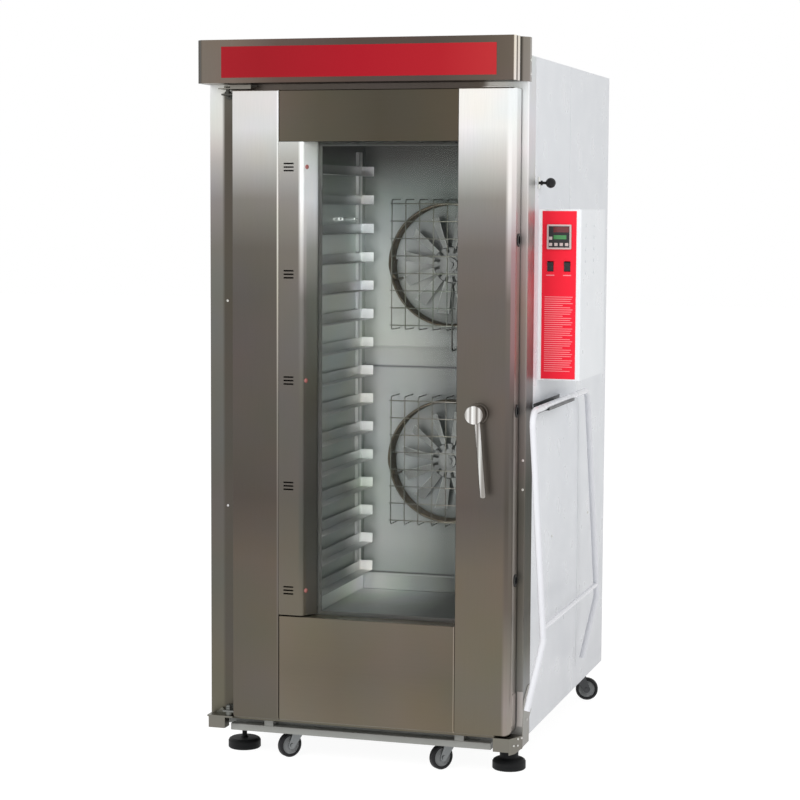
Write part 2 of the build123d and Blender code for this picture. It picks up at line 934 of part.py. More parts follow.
def door_inner_frame():
    """Inner door sheet with the window cut-out, hinge ears and pins."""
    y0 = door_back - sheet
    y1 = door_back
    panel = block(door_left, door_right, y0, y1, door_bottom, door_top)
    edges = panel.edges().filter_by(Axis.Y).sort_by(Axis.X)[-2:]
    panel = fillet(edges.sort_by(Axis.Z)[0], corner_round)
    window = block(
        lamp_inner_edge + 12,
        seam_right - 12,
        y0 - 1,
        y1 + 1,
        window_bottom + 12,
        window_top - 12,
    )
    frame = panel - window
    ear_x0 = hinge_x - 15
    ear_x1 = door_left - fit_gap
    reach = 45.0
    for low, tab_low in ((ear_lower, ear_lower), (ear_upper, ear_upper + ear_thick - ear_tab)):
        frame += block(ear_x0, door_left, y0, y1, tab_low, tab_low + ear_tab)
        frame += block(ear_x0, ear_x1, -reach, y1, low, low + ear_thick)
    lower_pin = rod_z(pin_radius, hinge_plate + fit_gap, ear_lower + 20, hinge_x, hinge_y)
    lower_washer = rod_z(10, hinge_plate + 5 + fit_gap, ear_lower, hinge_x, hinge_y)
    upper_pin = rod_z(pin_radius, ear_upper - 4, door_top + 12, hinge_x, hinge_y)
    nuts = []
    ear_top_low = ear_lower + ear_thick
    ear_top_high = ear_upper + ear_thick
    for low, tall in ((ear_top_low, 7), (ear_top_low + 8, 5), (ear_top_high, 7)):
        nut = extrude(RegularPolygon(10, 6), tall)
        nuts.append(Pos(hinge_x, hinge_y, low) * nut)
    return frame + lower_pin + lower_washer + upper_pin + nuts


def door_glass(x0, y0):
    """One pane of the door window."""
    return block(
        x0,
        seam_right - fit_gap,
        y0,
        y0 + glass_thick,
        window_bottom + fit_gap,
        window_top - fit_gap,
    )


def lamp_housing():
    """Bent lamp cover beside the window, with groups of three vent slots."""
    thick = 1.2
    x0 = seam_left + fit_gap
    front = door_front + 1
    back = door_back - sheet - fit_gap
    side_x = lamp_inner_edge - fit_gap
    corners = [
        (x0, front),
        (lamp_face_edge, front),
        (side_x, glass_outer_y + 7),
        (side_x, back),
        (x0, back),
    ]
    plan = make_face(Polyline(*corners, close=True))
    front_pair = plan.vertices().sort_by(Axis.Y)[:2]
    plan = fillet(front_pair.sort_by(Axis.X)[-1], lamp_bend)
    hollow = offset(plan, -thick)
    up = (0, 0, 1)
    tall = window_top - fit_gap - lamp_bottom
    shell = Pos(0, 0, lamp_bottom) * extrude(plan, tall, dir=up)
    shell -= Pos(0, 0, lamp_bottom + thick) * extrude(hollow, tall - 2 * thick, dir=up)
    slots = []
    for group in range(slot_groups):
        middle = slot_group_first + group * slot_group_pitch
        for step in (-1, 0, 1):
            z = middle + step * slot_pitch
            slots.append(
                block(
                    slot_x - slot_length / 2,
                    slot_x + slot_length / 2,
                    door_front - 1,
                    door_front + 4,
                    z - slot_height / 2,
                    z + slot_height / 2,
                )
            )
    return shell - slots


def door_gasket():
    """Seal on the back of the door around the chamber mouth."""
    wide = 12.0
    reach = 14.0
    low = chamber_floor - reach - wide
    high = chamber_top + reach + wide
    half = chamber_half + reach + wide
    y0 = door_back
    y1 = -fit_gap
    ring = block(-half, half, y0, y1, low, high)
    ring -= block(-half + wide, half - wide, y0 - 1, y1 + 1, low + wide, high - wide)
    return ring


def door_handle():
    """Turning handle: round head on a neck, with a long round lever."""
    collar_end = door_front - rose_thick - fit_gap
    neck = rod_y(neck_radius, head_back, collar_end, handle_x, handle_z)
    head = rod_y(head_radius, head_front, head_back, handle_x, handle_z)
    head = fillet(head.edges().filter_by(GeomType.CIRCLE), 4)
    tilt = radians(lever_tilt)
    lever_y = (head_front + head_back) / 2
    start = Vector(handle_x + 6, lever_y, handle_z - 8)
    end = start + Vector(sin(tilt), 0, -cos(tilt)) * lever_length
    lever = tube_along(Wire([Line(start, end)]), lever_radius)
    lever = fillet(lever.edges().sort_by(Axis.Z)[0], 5)
    return neck + head + lever


def control_box():
    """White control housing, open where it meets the side panel."""
    x0 = body_half
    x1 = body_half + box_depth
    outer = block(x0, x1, box_front, box_back, box_bottom, box_top)
    upright = outer.edges().filter_by(Axis.Z).sort_by(Axis.X)[-2:]
    outer = fillet(upright, 3)
    inner = block(
        x0 - 1,
        x1 - sheet,
        box_front + sheet,
        box_back - sheet,
        box_bottom + sheet,
        box_top - sheet,
    )
    box = outer - inner
    half = controller_body / 2 + 0.5
    box -= block(
        controller_x - half,
        controller_x + half,
        box_front - 1,
        box_front + 3,
        controller_z - half,
        controller_z + half,
    )
    for x in (switch_left_x, switch_right_x):
        box -= switch_hole(x, box_front - 1, box_front + 3)
    dimples = []
    for row in range(5):
        for y in (box_front + 66, box_front + 184):
            z = box_top - 186 + row * 34.5
            dimples.append(rod_x(5, x1 - 0.5, x1 + 1.2, y, z))
    return box + dimples


def switch_hole(x, y0, y1):
    """Opening for one rocker switch."""
    half_w = switch_width / 2
    half_h = switch_height / 2
    return block(x - half_w, x + half_w, y0, y1, switch_z - half_h, switch_z + half_h)


def fascia():
    """Red front plate of the control box."""
    y0 = box_front - fascia_thick
    plate = block(fascia_left, fascia_right, y0, box_front, fascia_bottom, fascia_top)
    half = controller_body / 2 + 0.5
    plate -= block(
        controller_x - half,
        controller_x + half,
        y0 - 1,
        box_front + 1,
        controller_z - half,
        controller_z + half,
    )
    for x in (switch_left_x, switch_right_x):
        plate -= switch_hole(x, y0 - 1, box_front + 1)
    return plate


def controller():
    """Square temperature controller with a rim and a recessed face."""
    y1 = box_front - fascia_thick
    y0 = y1 - controller_rim
    half = controller_size / 2
    body_half_size = controller_body / 2
    rim = block(
        controller_x - half,
        controller_x + half,
        y0,
        y1,
        controller_z - half,
        controller_z + half,
    )
    rim = fillet(rim.edges().filter_by(Axis.Y), 3)
    face_half = half - 5
    rim -= block(
        controller_x - face_half,
        controller_x + face_half,
        y0 - 1,
        y0 + 1.2,
        controller_z - face_half,
        controller_z + face_half,
    )
    body = block(
        controller_x - body_half_size,
        controller_x + body_half_size,
        y1,
        y1 + controller_deep,
        controller_z - body_half_size,
        controller_z + body_half_size,
    )
    return rim + body


def rocker(x):
    """Rocker of a switch, tipped to its off side, turning about its middle."""
    half_w = switch_width / 2 - 0.6
    half_h = switch_height / 2 - 2.2
    y = box_front
    outline = [
        (y - 4.5, half_h),
        (y - 1.8, 0),
        (y - 4.5, -half_h),
        (y + 6, -half_h + 3),
        (y + 6, half_h - 3),
    ]
    key = prism_x(outline, -half_w, half_w)
    key = Pos(0, -y, 0) * key
    key = Rot(switch_rest, 0, 0) * key
    return Pos(x, y, switch_z) * key


def damper_knob():
    """Ball knob on a thin rod that slides out of the side panel."""
    ball = Pos(body_half + knob_out, knob_y, knob_z) * Sphere(knob_radius)
    rod = rod_x(rod_radius, body_half - rod_inside, body_half + knob_out, knob_y, knob_z)
    collar = rod_x(7, body_half + 7, body_half + 12, knob_y, knob_z)
    return ball + rod + collar


def knob_plate():
    """Slim guide plate of the damper rod."""
    plate = block(body_half, body_half + 2, knob_y - 10, knob_y + 10, knob_z - 17, knob_z + 17)
    return plate - rod_x(rod_radius + fit_gap, body_half - 1, body_half + 3, knob_y, knob_z)


def flue_stub():
    """Short open exhaust collar on the roof."""
    low = panel_top + sheet
    pipe = rod_z(flue_radius, low, low + flue_height, flue_x, flue_y)
    flange = rod_z(flue_radius + 14, low, low + 2, flue_x, flue_y)
    bore = rod_z(flue_radius - sheet, low - 1, low + flue_height + 1, flue_x, flue_y)
    return pipe + flange - bore


def side_frame():
    """Bent tube frame that hangs on the side wall and swings up as a shelf support."""
    wall = body_half
    knee_front = tube_front_top + tube_knee_shift
    knee_rear = tube_rear_top + tube_knee_shift
    points = [
        (wall + tube_end_out, tube_front_top, tube_end_z),
        (wall + tube_knee_out, knee_front, tube_knee_z),
        (wall + tube_bar_out, tube_front_top, tube_bar_z),
        (wall + tube_bar_out, tube_rear_top, tube_bar_z),
        (wall + tube_knee_out, knee_rear, tube_knee_z),
        (wall + tube_end_out, tube_rear_top, tube_end_z),
    ]
    frame = tube_along(bent_path(points, 45), tube_radius)
    share = (cross_bar_z - tube_knee_z) / (tube_bar_z - tube_knee_z)
    x = wall + tube_knee_out + share * (tube_bar_out - tube_knee_out)
    shift = tube_knee_shift * (1 - share)
    cross = rod_y(cross_bar_radius, tube_front_top + shift, tube_rear_top + shift, x, cross_bar_z)
    return frame + cross


def side_cradle():
    """Folded strip on the side panel with an upturned lip that cradles the bar."""
    wall = body_half
    seat = tube_bar_z - tube_radius - fit_gap
    bar_x = wall + tube_bar_out
    lip_x = bar_x + tube_radius + fit_gap
    outline = [
        (wall, seat + 16),
        (wall, seat - 18),
        (wall + 2, seat - 18),
        (wall + 2, seat - 2),
        (lip_x + 2, seat - 2),
        (lip_x + 2, seat + 7),
        (lip_x, seat + 7),
        (lip_x, seat),
        (wall + 2, seat),
        (wall + 2, seat + 16),
    ]
    corners = [(x, cradle_front, z) for x, z in outline]
    face = make_face(Polyline(*corners, close=True))
    return extrude(face, cradle_back - cradle_front, dir=(0, 1, 0))


def back_panel():
    """Rear service panel with rows of vent slots behind the motors."""
    y0 = body_back
    half = body_half - 16
    panel = block(-half, half, y0, y0 + sheet, panel_bottom + 14, panel_top - 14)
    slots = []
    for height in (fan_height_upper, fan_height_lower):
        for row in range(7):
            z = height - 60 + row * 20
            for x in (-70, 70):
                slots.append(block(x - 55, x + 55, y0 - 1, y0 + 3, z - 3, z + 3))
    return panel - slots


def roof_panel():
    """Flat roof sheet behind the hood."""
    y0 = hood_back + fit_gap
    roof = block(-body_half, body_half, y0, body_back, panel_top, panel_top + sheet)
    return roof - rod_z(flue_radius - sheet, panel_top - 1, panel_top + 3, flue_x, flue_y)


def hood_stripe():
    """Plain red band on the hood front."""
    return block(
        -stripe_half,
        stripe_half,
        hood_front - stripe_thick,
        hood_front,
        stripe_bottom,
        stripe_top,
    )


def screw_on_side(side, y, z, surface=body_half):
    """Domed screw head on an upright side face."""
    inner = side * surface
    outer = side * (surface + 2.2)
    return rod_x(4.2, min(inner, outer), max(inner, outer), y, z)


def cabinet_screws():
    """All like screw heads of the cabinet."""
    heads = []
    hood_side = body_half + fit_gap + sheet
    for z in (hood_bottom + 21, panel_top - 13):
        heads.append(screw_on_side(1, 7, z, hood_side))
        heads.append(screw_on_side(-1, 7, z, -hood_left))
    for z in (857, 942):
        heads.append(rod_y(4.2, -2.2, 0, body_half - 8, z))
    for z in (771, 1387):
        heads.append(rod_y(4.2, -2.2, 0, -body_half + 56, z))
    for y, z in ((30, 242), (41, 174)):
        heads.append(screw_on_side(1, y, z, body_half + 2))
    for y, z in ((360, 670), (900, 670)):
        heads.append(screw_on_side(1, y, z))
        heads.append(screw_on_side(-1, y, z))
    # Four rivet heads hold the wrapped plate of the lower corner.
    run_x = 26.0
    run_y = -8 - (door_front + 2)
    turn = atan2(run_y, run_x)
    for share, z in ((0.34, 114), (0.64, 112), (0.66, door_bottom - 9), (0.93, door_bottom - 9)):
        head = Rot(90, 0, 0) * Cylinder(3.6, 2)
        head = Pos(share * run_x, share * run_y, 0) * (Rot(0, 0, turn * 180 / pi) * (Pos(0, -3, 0) * head))
        heads.append(Pos(body_half - 26, door_front + 2, z) * head)
    across = body_half - 31
    for x in (-across, 0, across):
        for z in (panel_bottom + 39, (panel_bottom + panel_top) / 2, panel_top - 39):
            heads.append(rod_y(4.2, body_back + sheet, body_back + sheet + 2.2, x, z))
    return Compound(children=heads)


front_turn = castor_front_turn
rear_turn = castor_rear_turn
castors = {
    "front_left": (castor_front_left, castor_front_y, front_turn),
    "front_right": (castor_front_right, castor_front_y, front_turn),
    "rear_left": (-castor_rear_x, castor_rear_y, rear_turn),
    "rear_right": (castor_rear_x, castor_rear_y, rear_turn),
}

nodes = {
    "side_panel_left": side_panel(-1),
    "side_panel_right": side_panel(1),
    "back_panel": back_panel(),
    "roof_panel": roof_panel(),
    "front_frame": front_frame(),
    "hood": hood(),
    "hood_stripe": hood_stripe(),
    "liner_left": liner_side(-1),
    "liner_right": liner_side(1),
    "liner_back": liner_back(),
    "liner_top": liner_top(),
    "floor_pan": floor_pan(),
    "tray_ladder_left": tray_ladder(-1),
    "tray_ladder_right": tray_ladder(1),
    "fan_guard_upper": fan_guard(fan_height_upper),
    "fan_guard_lower": fan_guard(fan_height_lower),
    "ring_element_upper": ring_element(fan_height_upper),
    "ring_element_lower": ring_element(fan_height_lower),
    "fan_motor_upper": fan_motor(fan_height_upper),
    "fan_motor_lower": fan_motor(fan_height_lower),
    "fan_wheel_upper": fan_wheel(fan_height_upper),
    "fan_wheel_lower": fan_wheel(fan_height_lower),
    "steam_tube": steam_tube(),
    "probe": probe(),
    "base_frame": base_frame(),
    "corner_bracket": corner_bracket(),
    "hinge_bracket_lower": hinge_bracket_lower(),
    "hinge_bracket_upper": hinge_bracket_upper(),
    "foot_left": foot(-1),
    "foot_right": foot(1),
    "control_box": control_box(),
    "fascia": fascia(),
    "controller": controller(),
    "switch_left": rocker(switch_left_x),
    "switch_right": rocker(switch_right_x),
    "damper_knob": damper_knob(),
    "knob_plate": knob_plate(),
    "flue_stub": flue_stub(),
    "side_frame": side_frame(),
    "side_cradle": side_cradle(),
    "cabinet_screws": cabinet_screws(),
    "door_skin_left": door_skin_left(),
    "door_skin_right": door_skin_right(),
    "door_panel_top": door_panel_top(),
    "door_panel_bottom": door_panel_bottom(),
    "door_inner_frame": door_inner_frame(),
    "door_glass_outer": door_glass(lamp_inner_edge - 1, glass_outer_y),
    "door_glass_inner": door_glass(lamp_inner_edge + fit_gap, door_back - sheet - glass_thick - fit_gap),
    "lamp_housing": lamp_housing(),
    "door_gasket": door_gasket(),
    "door_catches": door_catches(),
    "door_handle": door_handle(),
}
for place, (x, y, turn) in castors.items():
    nodes["castor_fork_" + place] = castor_fork(x, y, turn)
    nodes["castor_wheel_" + place] = castor_wheel(x, y, turn)

low = [1e9, 1e9, 1e9]
high = [-1e9, -1e9, -1e9]
for shape in nodes.values():
    box = shape.bounding_box()
    low = [min(low[0], box.min.X), min(low[1], box.min.Y), min(low[2], box.min.Z)]
    high = [max(high[0], box.max.X), max(high[1], box.max.Y), max(high[2], box.max.Z)]
shift = Pos(-(low[0] + high[0]) / 2, -(low[1] + high[1]) / 2, -low[2])

print("overall size", [round(b - a, 2) for a, b in zip(low, high)])
print("moved by", [round(value, 3) for value in shift.position])
print("gap between heater turns", coil_pitch - coil_tube)
print("pieces", len(nodes))

os.makedirs("parts", exist_ok=True)
for name, shape in nodes.items():
    export_step(shift * shape, "parts/" + name + ".step")
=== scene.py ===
"""Dresses a tall electric convection oven: finishes for its solids and the small pieces on them.

Numbers are millimetres of the cabinet, as place() takes them, unless they say otherwise.
"""

import logging
import math
from dataclasses import dataclass, field
from enum import Enum

import bmesh
import bpy
from mathutils import Matrix, Vector


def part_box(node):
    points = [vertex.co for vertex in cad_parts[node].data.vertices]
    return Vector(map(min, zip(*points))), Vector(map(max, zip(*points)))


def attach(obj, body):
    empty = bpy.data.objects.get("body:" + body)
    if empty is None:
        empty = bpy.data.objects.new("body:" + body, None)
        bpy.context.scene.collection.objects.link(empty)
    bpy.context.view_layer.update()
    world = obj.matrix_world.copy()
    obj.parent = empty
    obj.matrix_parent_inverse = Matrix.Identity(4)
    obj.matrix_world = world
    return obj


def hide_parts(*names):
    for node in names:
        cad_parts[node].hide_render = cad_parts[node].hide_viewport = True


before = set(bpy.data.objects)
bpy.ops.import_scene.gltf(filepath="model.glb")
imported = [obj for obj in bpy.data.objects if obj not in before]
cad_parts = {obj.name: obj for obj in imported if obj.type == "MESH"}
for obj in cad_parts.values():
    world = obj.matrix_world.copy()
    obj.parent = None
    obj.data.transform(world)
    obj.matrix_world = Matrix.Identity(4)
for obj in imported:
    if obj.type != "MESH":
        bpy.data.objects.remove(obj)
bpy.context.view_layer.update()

log = logging.getLogger("oven")
MM = 0.001
FRAME_DEPTH = 86
ROUND_BELOW = math.radians(35)
# Nearly all values of a noise texture lie between these two.
NOISE_LOW, NOISE_HIGH = 0.3, 0.7

Tones = tuple[tuple[float, str], ...]
Spot = tuple[float, float, float]

# The cabinet's own frame: middle plane X = 0, front of the steel frame Y = 0, floor Z = 0.
_low, _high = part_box("front_frame")
_panel_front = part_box("side_panel_right")[0].y
CABINET_ORIGIN = Vector(((_low.x + _high.x) / 2, _panel_front - FRAME_DEPTH * MM, 0.0))
AXIS_SHIFT = {"X": CABINET_ORIGIN.x, "Y": CABINET_ORIGIN.y, "Z": 0.0}


def place(x: float, y: float, z: float) -> Vector:
    """Turn cabinet millimetres into the row frame's metres.

    Args:
        x: Distance right of the cabinet's middle plane.
        y: Distance behind the front of the steel frame.
        z: Height above the floor.

    Returns:
        The point in metres.
    """
    return CABINET_ORIGIN + Vector((x, y, z)) * MM


def srgb(code: str) -> tuple[float, float, float, float]:
    """Turn an sRGB hex colour into linear RGBA.

    Args:
        code: Colour such as "#8a8f92".

    Returns:
        Linear red, green, blue and an alpha of one.
    """
    channels = [int(code[i : i + 2], 16) / 255 for i in (1, 3, 5)]
    linear = [c / 12.92 if c <= 0.04045 else ((c + 0.055) / 1.055) ** 2.4 for c in channels]
    return (linear[0], linear[1], linear[2], 1.0)


def add_node(
    tree: bpy.types.NodeTree, kind: str, settings: dict | None = None, links: dict | None = None,
) -> bpy.types.Node:
    """Add one node with its settings and its links.

    Args:
        tree: Node tree that gets the node.
        kind: Blender's name for the node type.
        settings: Properties by name, or input values by socket name or number.
        links: Output sockets by the name or number of the input they feed.

    Returns:
        The new node.
    """
    node = tree.nodes.new(kind)
    for key, value in (settings or {}).items():
        if isinstance(key, str) and hasattr(node, key) and key not in node.inputs:
            setattr(node, key, value)
        else:
            node.inputs[key].default_value = value
    for key, source in (links or {}).items():
        tree.links.new(source, node.inputs[key])
    return node


def fresh_material(name: str) -> tuple[bpy.types.Material, bpy.types.NodeTree]:
    """Make an empty node material.

    Args:
        name: Name of the material.

    Returns:
        The material and its node tree.
    """
    material = bpy.data.materials.new(name)
    material.use_nodes = True
    material.node_tree.nodes.clear()
    return material, material.node_tree


def axis_ramp(
    tree: bpy.types.NodeTree, split: bpy.types.Node, axis: str, tones: Tones
) -> bpy.types.NodeSocket:
    """Lay colours along one axis of the cabinet.

    Args:
        tree: Node tree.
        split: Separate XYZ node on the object coordinates.
        axis: "X", "Y" or "Z".
        tones: Positions with their colours, in rising order.

    Returns:
        The colour socket.
    """
    shift, first, last = AXIS_SHIFT[axis], tones[0][0], tones[-1][0]
    share = add_node(
        tree, "ShaderNodeMapRange", {"From Min": first * MM + shift, "From Max": last * MM + shift},
        {"Value": split.outputs[axis]},
    )
    node = add_node(tree, "ShaderNodeValToRGB", {}, {"Fac": share.outputs["Result"]})
    stops = node.color_ramp.elements
    while len(stops) > 1:
        stops.remove(stops[-1])
    stops[0].position = 0.0
    stops[0].color = srgb(tones[0][1])
    for at, code in tones[1:]:
        stops.new((at - first) / (last - first)).color = srgb(code)
    return node.outputs["Color"]


class Grain(Enum):
    """Which way the brushing of a sheet runs."""

    UPRIGHT = (1.0, 1.0, 0.02)
    ACROSS = (0.02, 1.0, 1.0)
    NONE = (1.0, 1.0, 1.0)


@dataclass(frozen=True)
class Facet:
    """Part of a folded sheet past one position on an axis, which shows tones of its own, mostly
    painted light and shade.
    """

    limit_axis: str
    start: float
    axis: str
    tones: Tones
    soft: float = 2.0


@dataclass(frozen=True)
class BrushedSteel:
    """Satin-brushed stainless sheet, AISI 430: fine parallel scratches that blur what it mirrors.

    The tone is painted light and shade: it climbs from warm grey low on the sheet to pale
    where light is painted on, and drifts a little between olive and pink over a hand's
    breadth, as rolled and brushed sheet does.
    """

    name: str
    tones: Tones
    grain: Grain = Grain.UPRIGHT
    scratch_mm: float = 1.6
    roughness: float = 0.34
    wear: float = 0.05
    # Gain along X: painted light and shade across the sheet.
    across: Tones = ()
    facets: tuple[Facet, ...] = ()
    axis: str = "Z"
    metal: float = 1.0
    edge: float = 1.0
    clouds_per_metre: float = 4.5

    def tone(self, tree: bpy.types.NodeTree, coords: bpy.types.Node) -> bpy.types.NodeSocket:
        """Lay the sheet's tones and those of its facets, most of them painted light and shade.

        Args:
            tree: Node tree of the material.
            coords: Texture Coordinate node.

        Returns:
            The colour socket before scratches and drift.
        """
        split = add_node(tree, "ShaderNodeSeparateXYZ", {}, {0: coords.outputs["Object"]})
        tone = axis_ramp(tree, split, self.axis, self.tones)
        if self.across:
            gain = axis_ramp(tree, split, "X", self.across)
            tone = add_node(
                tree, "ShaderNodeVectorMath", {"operation": "MULTIPLY"}, {0: tone, 1: gain}
            ).outputs[0]
        for facet in self.facets:
            start = facet.start * MM + AXIS_SHIFT[facet.limit_axis]
            past = add_node(
                tree, "ShaderNodeMapRange",
                {"From Min": start, "From Max": start + facet.soft * MM},
                {"Value": split.outputs[facet.limit_axis]},
            )
            other = axis_ramp(tree, split, facet.axis, facet.tones)
            tone = add_node(
                tree, "ShaderNodeMix", {"data_type": "RGBA"},
                {0: past.outputs["Result"], 6: tone, 7: other},
            ).outputs[2]
        return tone

    def build(self) -> bpy.types.Material:
        """Make the material.

        Returns:
            The finished material.
        """
        material, tree = fresh_material(self.name)
        coords = add_node(tree, "ShaderNodeTexCoord")
        stretch = add_node(
            tree, "ShaderNodeMapping", {"Scale": self.grain.value},
            {"Vector": coords.outputs["Object"]},
        )
        # Real scratches are about 0.1 mm apart. They are drawn ten times as coarse to show.
        scratch = add_node(
            tree, "ShaderNodeTexNoise",
            {"Scale": 1.0 / (self.scratch_mm * MM), "Detail": 3.0, "Roughness": 0.6},
            {"Vector": stretch.outputs["Vector"]},
        )
        cloud = add_node(
            tree, "ShaderNodeTexNoise",
            {"Scale": self.clouds_per_metre, "Detail": 2.0, "Roughness": 0.5},
            {"Vector": coords.outputs["Object"]},
        )
        drift = add_node(
            tree, "ShaderNodeMapRange",
            {
                "data_type": "FLOAT_VECTOR",
                7: (NOISE_LOW,) * 3,
                8: (NOISE_HIGH,) * 3,
                9: (1 - self.wear, 1 - self.wear * 0.3, 1 - self.wear * 1.3),
                10: (1 + self.wear * 0.8, 1 + self.wear * 0.2, 1 + self.wear * 1.1),
            },
            {6: cloud.outputs["Color"]},
        )
        lined = add_node(
            tree, "ShaderNodeMapRange",
            {"From Min": NOISE_LOW, "From Max": NOISE_HIGH, "To Min": 0.965, "To Max": 1.03},
            {"Value": scratch.outputs["Fac"]},
        )
        shaded = add_node(
            tree, "ShaderNodeVectorMath", {"operation": "MULTIPLY"},
            {0: self.tone(tree, coords), 1: drift.outputs["Vector"]},
        )
        colour = add_node(
            tree, "ShaderNodeVectorMath", {"operation": "SCALE"},
            {0: shaded.outputs[0], "Scale": lined.outputs["Result"]},
        )
        rough = add_node(
            tree, "ShaderNodeMapRange",
            {
                "From Min": NOISE_LOW, "From Max": NOISE_HIGH, "To Min": self.roughness - 0.05,
                "To Max": self.roughness + 0.06,
            },
            {"Value": scratch.outputs["Fac"]},
        )
        bump = add_node(
            tree, "ShaderNodeBump", {"Strength": 0.05, "Distance": 0.2 * MM},
            {"Height": scratch.outputs["Fac"]},
        )
        shader = add_node(
            tree, "ShaderNodeBsdfPrincipled",
            {"Metallic": self.metal, "Specular Tint": (self.edge, self.edge, self.edge, 1.0)},
            {
                "Base Color": colour.outputs[0], "Roughness": rough.outputs["Result"],
                "Normal": bump.outputs["Normal"],
            },
        )
        add_node(tree, "ShaderNodeOutputMaterial", {}, {"Surface": shader.outputs[0]})
        return material


@dataclass(frozen=True)
class Coating:
    """Any opaque skin over a body: paint, plating, plastic or rubber, with slight mottling.

    A grain size in millimetres sets the orange peel, cast texture or dust.
    """

    name: str
    colour: str
    second: str
    grain_mm: float = 3.0
    roughness: float = 0.3
    metallic: float = 0.0
    coat: float = 0.0
    bump: float = 0.08
    mottling: float = 0.5
    patch_mm: float = 90.0
    shine: float = 0.5
    # Colour blended in towards the floor: painted shade.
    lower: str = ""
    # Colours along X blended over the rest: painted light.
    sweep: Tones = ()
    hub: tuple[float, float, float, float] = (0.0, 0.0, 0.0, 0.0)
    hub_colour: str = "#8f9192"

    def colours(
        self, tree: bpy.types.NodeTree, coords: bpy.types.Node, wide: bpy.types.Node
    ) -> bpy.types.NodeSocket:
        """Mix the two shades and lay the sweep of painted light, the painted shade towards the
        floor and the hub over them.

        Args:
            tree: Node tree of the material.
            coords: Texture Coordinate node.
            wide: Noise that spreads the second shade.

        Returns:
            The colour socket.
        """
        blend = {"data_type": "RGBA"}
        share = add_node(
            tree, "ShaderNodeMapRange",
            {"From Min": 0.1, "From Max": 0.9, "To Min": 0.0, "To Max": self.mottling},
            {"Value": wide.outputs["Fac"]},
        )
        colour = add_node(
            tree, "ShaderNodeMix", {**blend, 6: srgb(self.colour), 7: srgb(self.second)},
            {0: share.outputs["Result"]},
        ).outputs[2]
        split = add_node(tree, "ShaderNodeSeparateXYZ", {}, {0: coords.outputs["Object"]})
        if self.sweep:
            along = axis_ramp(tree, split, "X", self.sweep)
            swept = add_node(tree, "ShaderNodeMix", {**blend, 0: 0.92}, {6: colour, 7: along})
            colour = swept.outputs[2]
        if self.lower:
            # Towards the floor the paint is drawn darker: painted shade.
            film = add_node(
                tree, "ShaderNodeMapRange",
                {"From Min": 0.95, "From Max": 0.12, "interpolation_type": "SMOOTHSTEP"},
                {"Value": split.outputs["Z"]},
            )
            colour = add_node(
                tree, "ShaderNodeMix", {**blend, 7: srgb(self.lower)},
                {0: film.outputs["Result"], 6: colour},
            ).outputs[2]
        if self.hub[3] > 0:
            # The hub is another material than what is pressed or riveted onto it.
            reach = add_node(
                tree, "ShaderNodeVectorMath", {"operation": "DISTANCE", 1: self.hub[:3]},
                {0: coords.outputs["Object"]},
            )
            inside = add_node(
                tree, "ShaderNodeMapRange",
                {"From Min": self.hub[3] + 0.6 * MM, "From Max": self.hub[3]},
                {"Value": reach.outputs["Value"]},
            )
            colour = add_node(
                tree, "ShaderNodeMix", {**blend, 7: srgb(self.hub_colour)},
                {0: inside.outputs["Result"], 6: colour},
            ).outputs[2]
        return colour

    def build(self) -> bpy.types.Material:
        """Make the material.

        Returns:
            The finished material.
        """
        material, tree = fresh_material(self.name)
        coords = add_node(tree, "ShaderNodeTexCoord")
        fine = add_node(
            tree, "ShaderNodeTexNoise", {"Scale": 1.0 / (self.grain_mm * MM), "Detail": 2.0},
            {"Vector": coords.outputs["Object"]},
        )
        wide = add_node(
            tree, "ShaderNodeTexNoise", {"Scale": 1.0 / (self.patch_mm * MM), "Detail": 1.5},
            {"Vector": coords.outputs["Object"]},
        )
        rough = add_node(
            tree, "ShaderNodeMapRange",
            {
                "From Min": NOISE_LOW, "From Max": NOISE_HIGH,
                "To Min": max(self.roughness - 0.04, 0.02), "To Max": self.roughness + 0.06,
            },
            {"Value": wide.outputs["Fac"]},
        )
        bump = add_node(
            tree, "ShaderNodeBump", {"Strength": self.bump, "Distance": self.grain_mm * MM * 0.2},
            {"Height": fine.outputs["Fac"]},
        )
        shader = add_node(
            tree, "ShaderNodeBsdfPrincipled",
            {
                "Metallic": self.metallic, "Specular IOR Level": self.shine,
                "Coat Weight": self.coat, "Coat Roughness": 0.08,
            },
            {
                "Base Color": self.colours(tree, coords, wide),
                "Roughness": rough.outputs["Result"], "Normal": bump.outputs["Normal"],
            },
        )
        add_node(tree, "ShaderNodeOutputMaterial", {}, {"Surface": shader.outputs[0]})
        return material


@dataclass(frozen=True)
class Pane:
    """Clear float glass, seen mainly by its faint green body and its shine."""

    name: str
    colour: str = "#1d2421"
    alpha: float = 0.07
    smears_per_metre: float = 4.0

    def build(self) -> bpy.types.Material:
        """Make the material.

        Returns:
            The finished material.
        """
        material, tree = fresh_material(self.name)
        coords = add_node(tree, "ShaderNodeTexCoord")
        smear = add_node(
            tree, "ShaderNodeTexNoise",
            {"Scale": self.smears_per_metre, "Detail": 5.0, "Distortion": 0.6},
            {"Vector": coords.outputs["Object"]},
        )
        rough = add_node(
            tree, "ShaderNodeMapRange",
            {"From Min": 0.35, "From Max": 0.75, "To Min": 0.02, "To Max": 0.09},
            {"Value": smear.outputs["Fac"]},
        )
        shader = add_node(
            tree, "ShaderNodeBsdfPrincipled",
            {"Base Color": srgb(self.colour), "Alpha": self.alpha, "IOR": 1.52},
            {"Roughness": rough.outputs["Result"]},
        )
        add_node(tree, "ShaderNodeOutputMaterial", {}, {"Surface": shader.outputs[0]})
        return material


def new_object(name: str, data: bpy.types.ID) -> bpy.types.Object:
    """Put a new object into the scene.

    Args:
        name: Name of the object.
        data: Its mesh, lamp or camera.

    Returns:
        The object, at the origin.
    """
    thing = bpy.data.objects.new(name, data)
    bpy.context.scene.collection.objects.link(thing)
    return thing


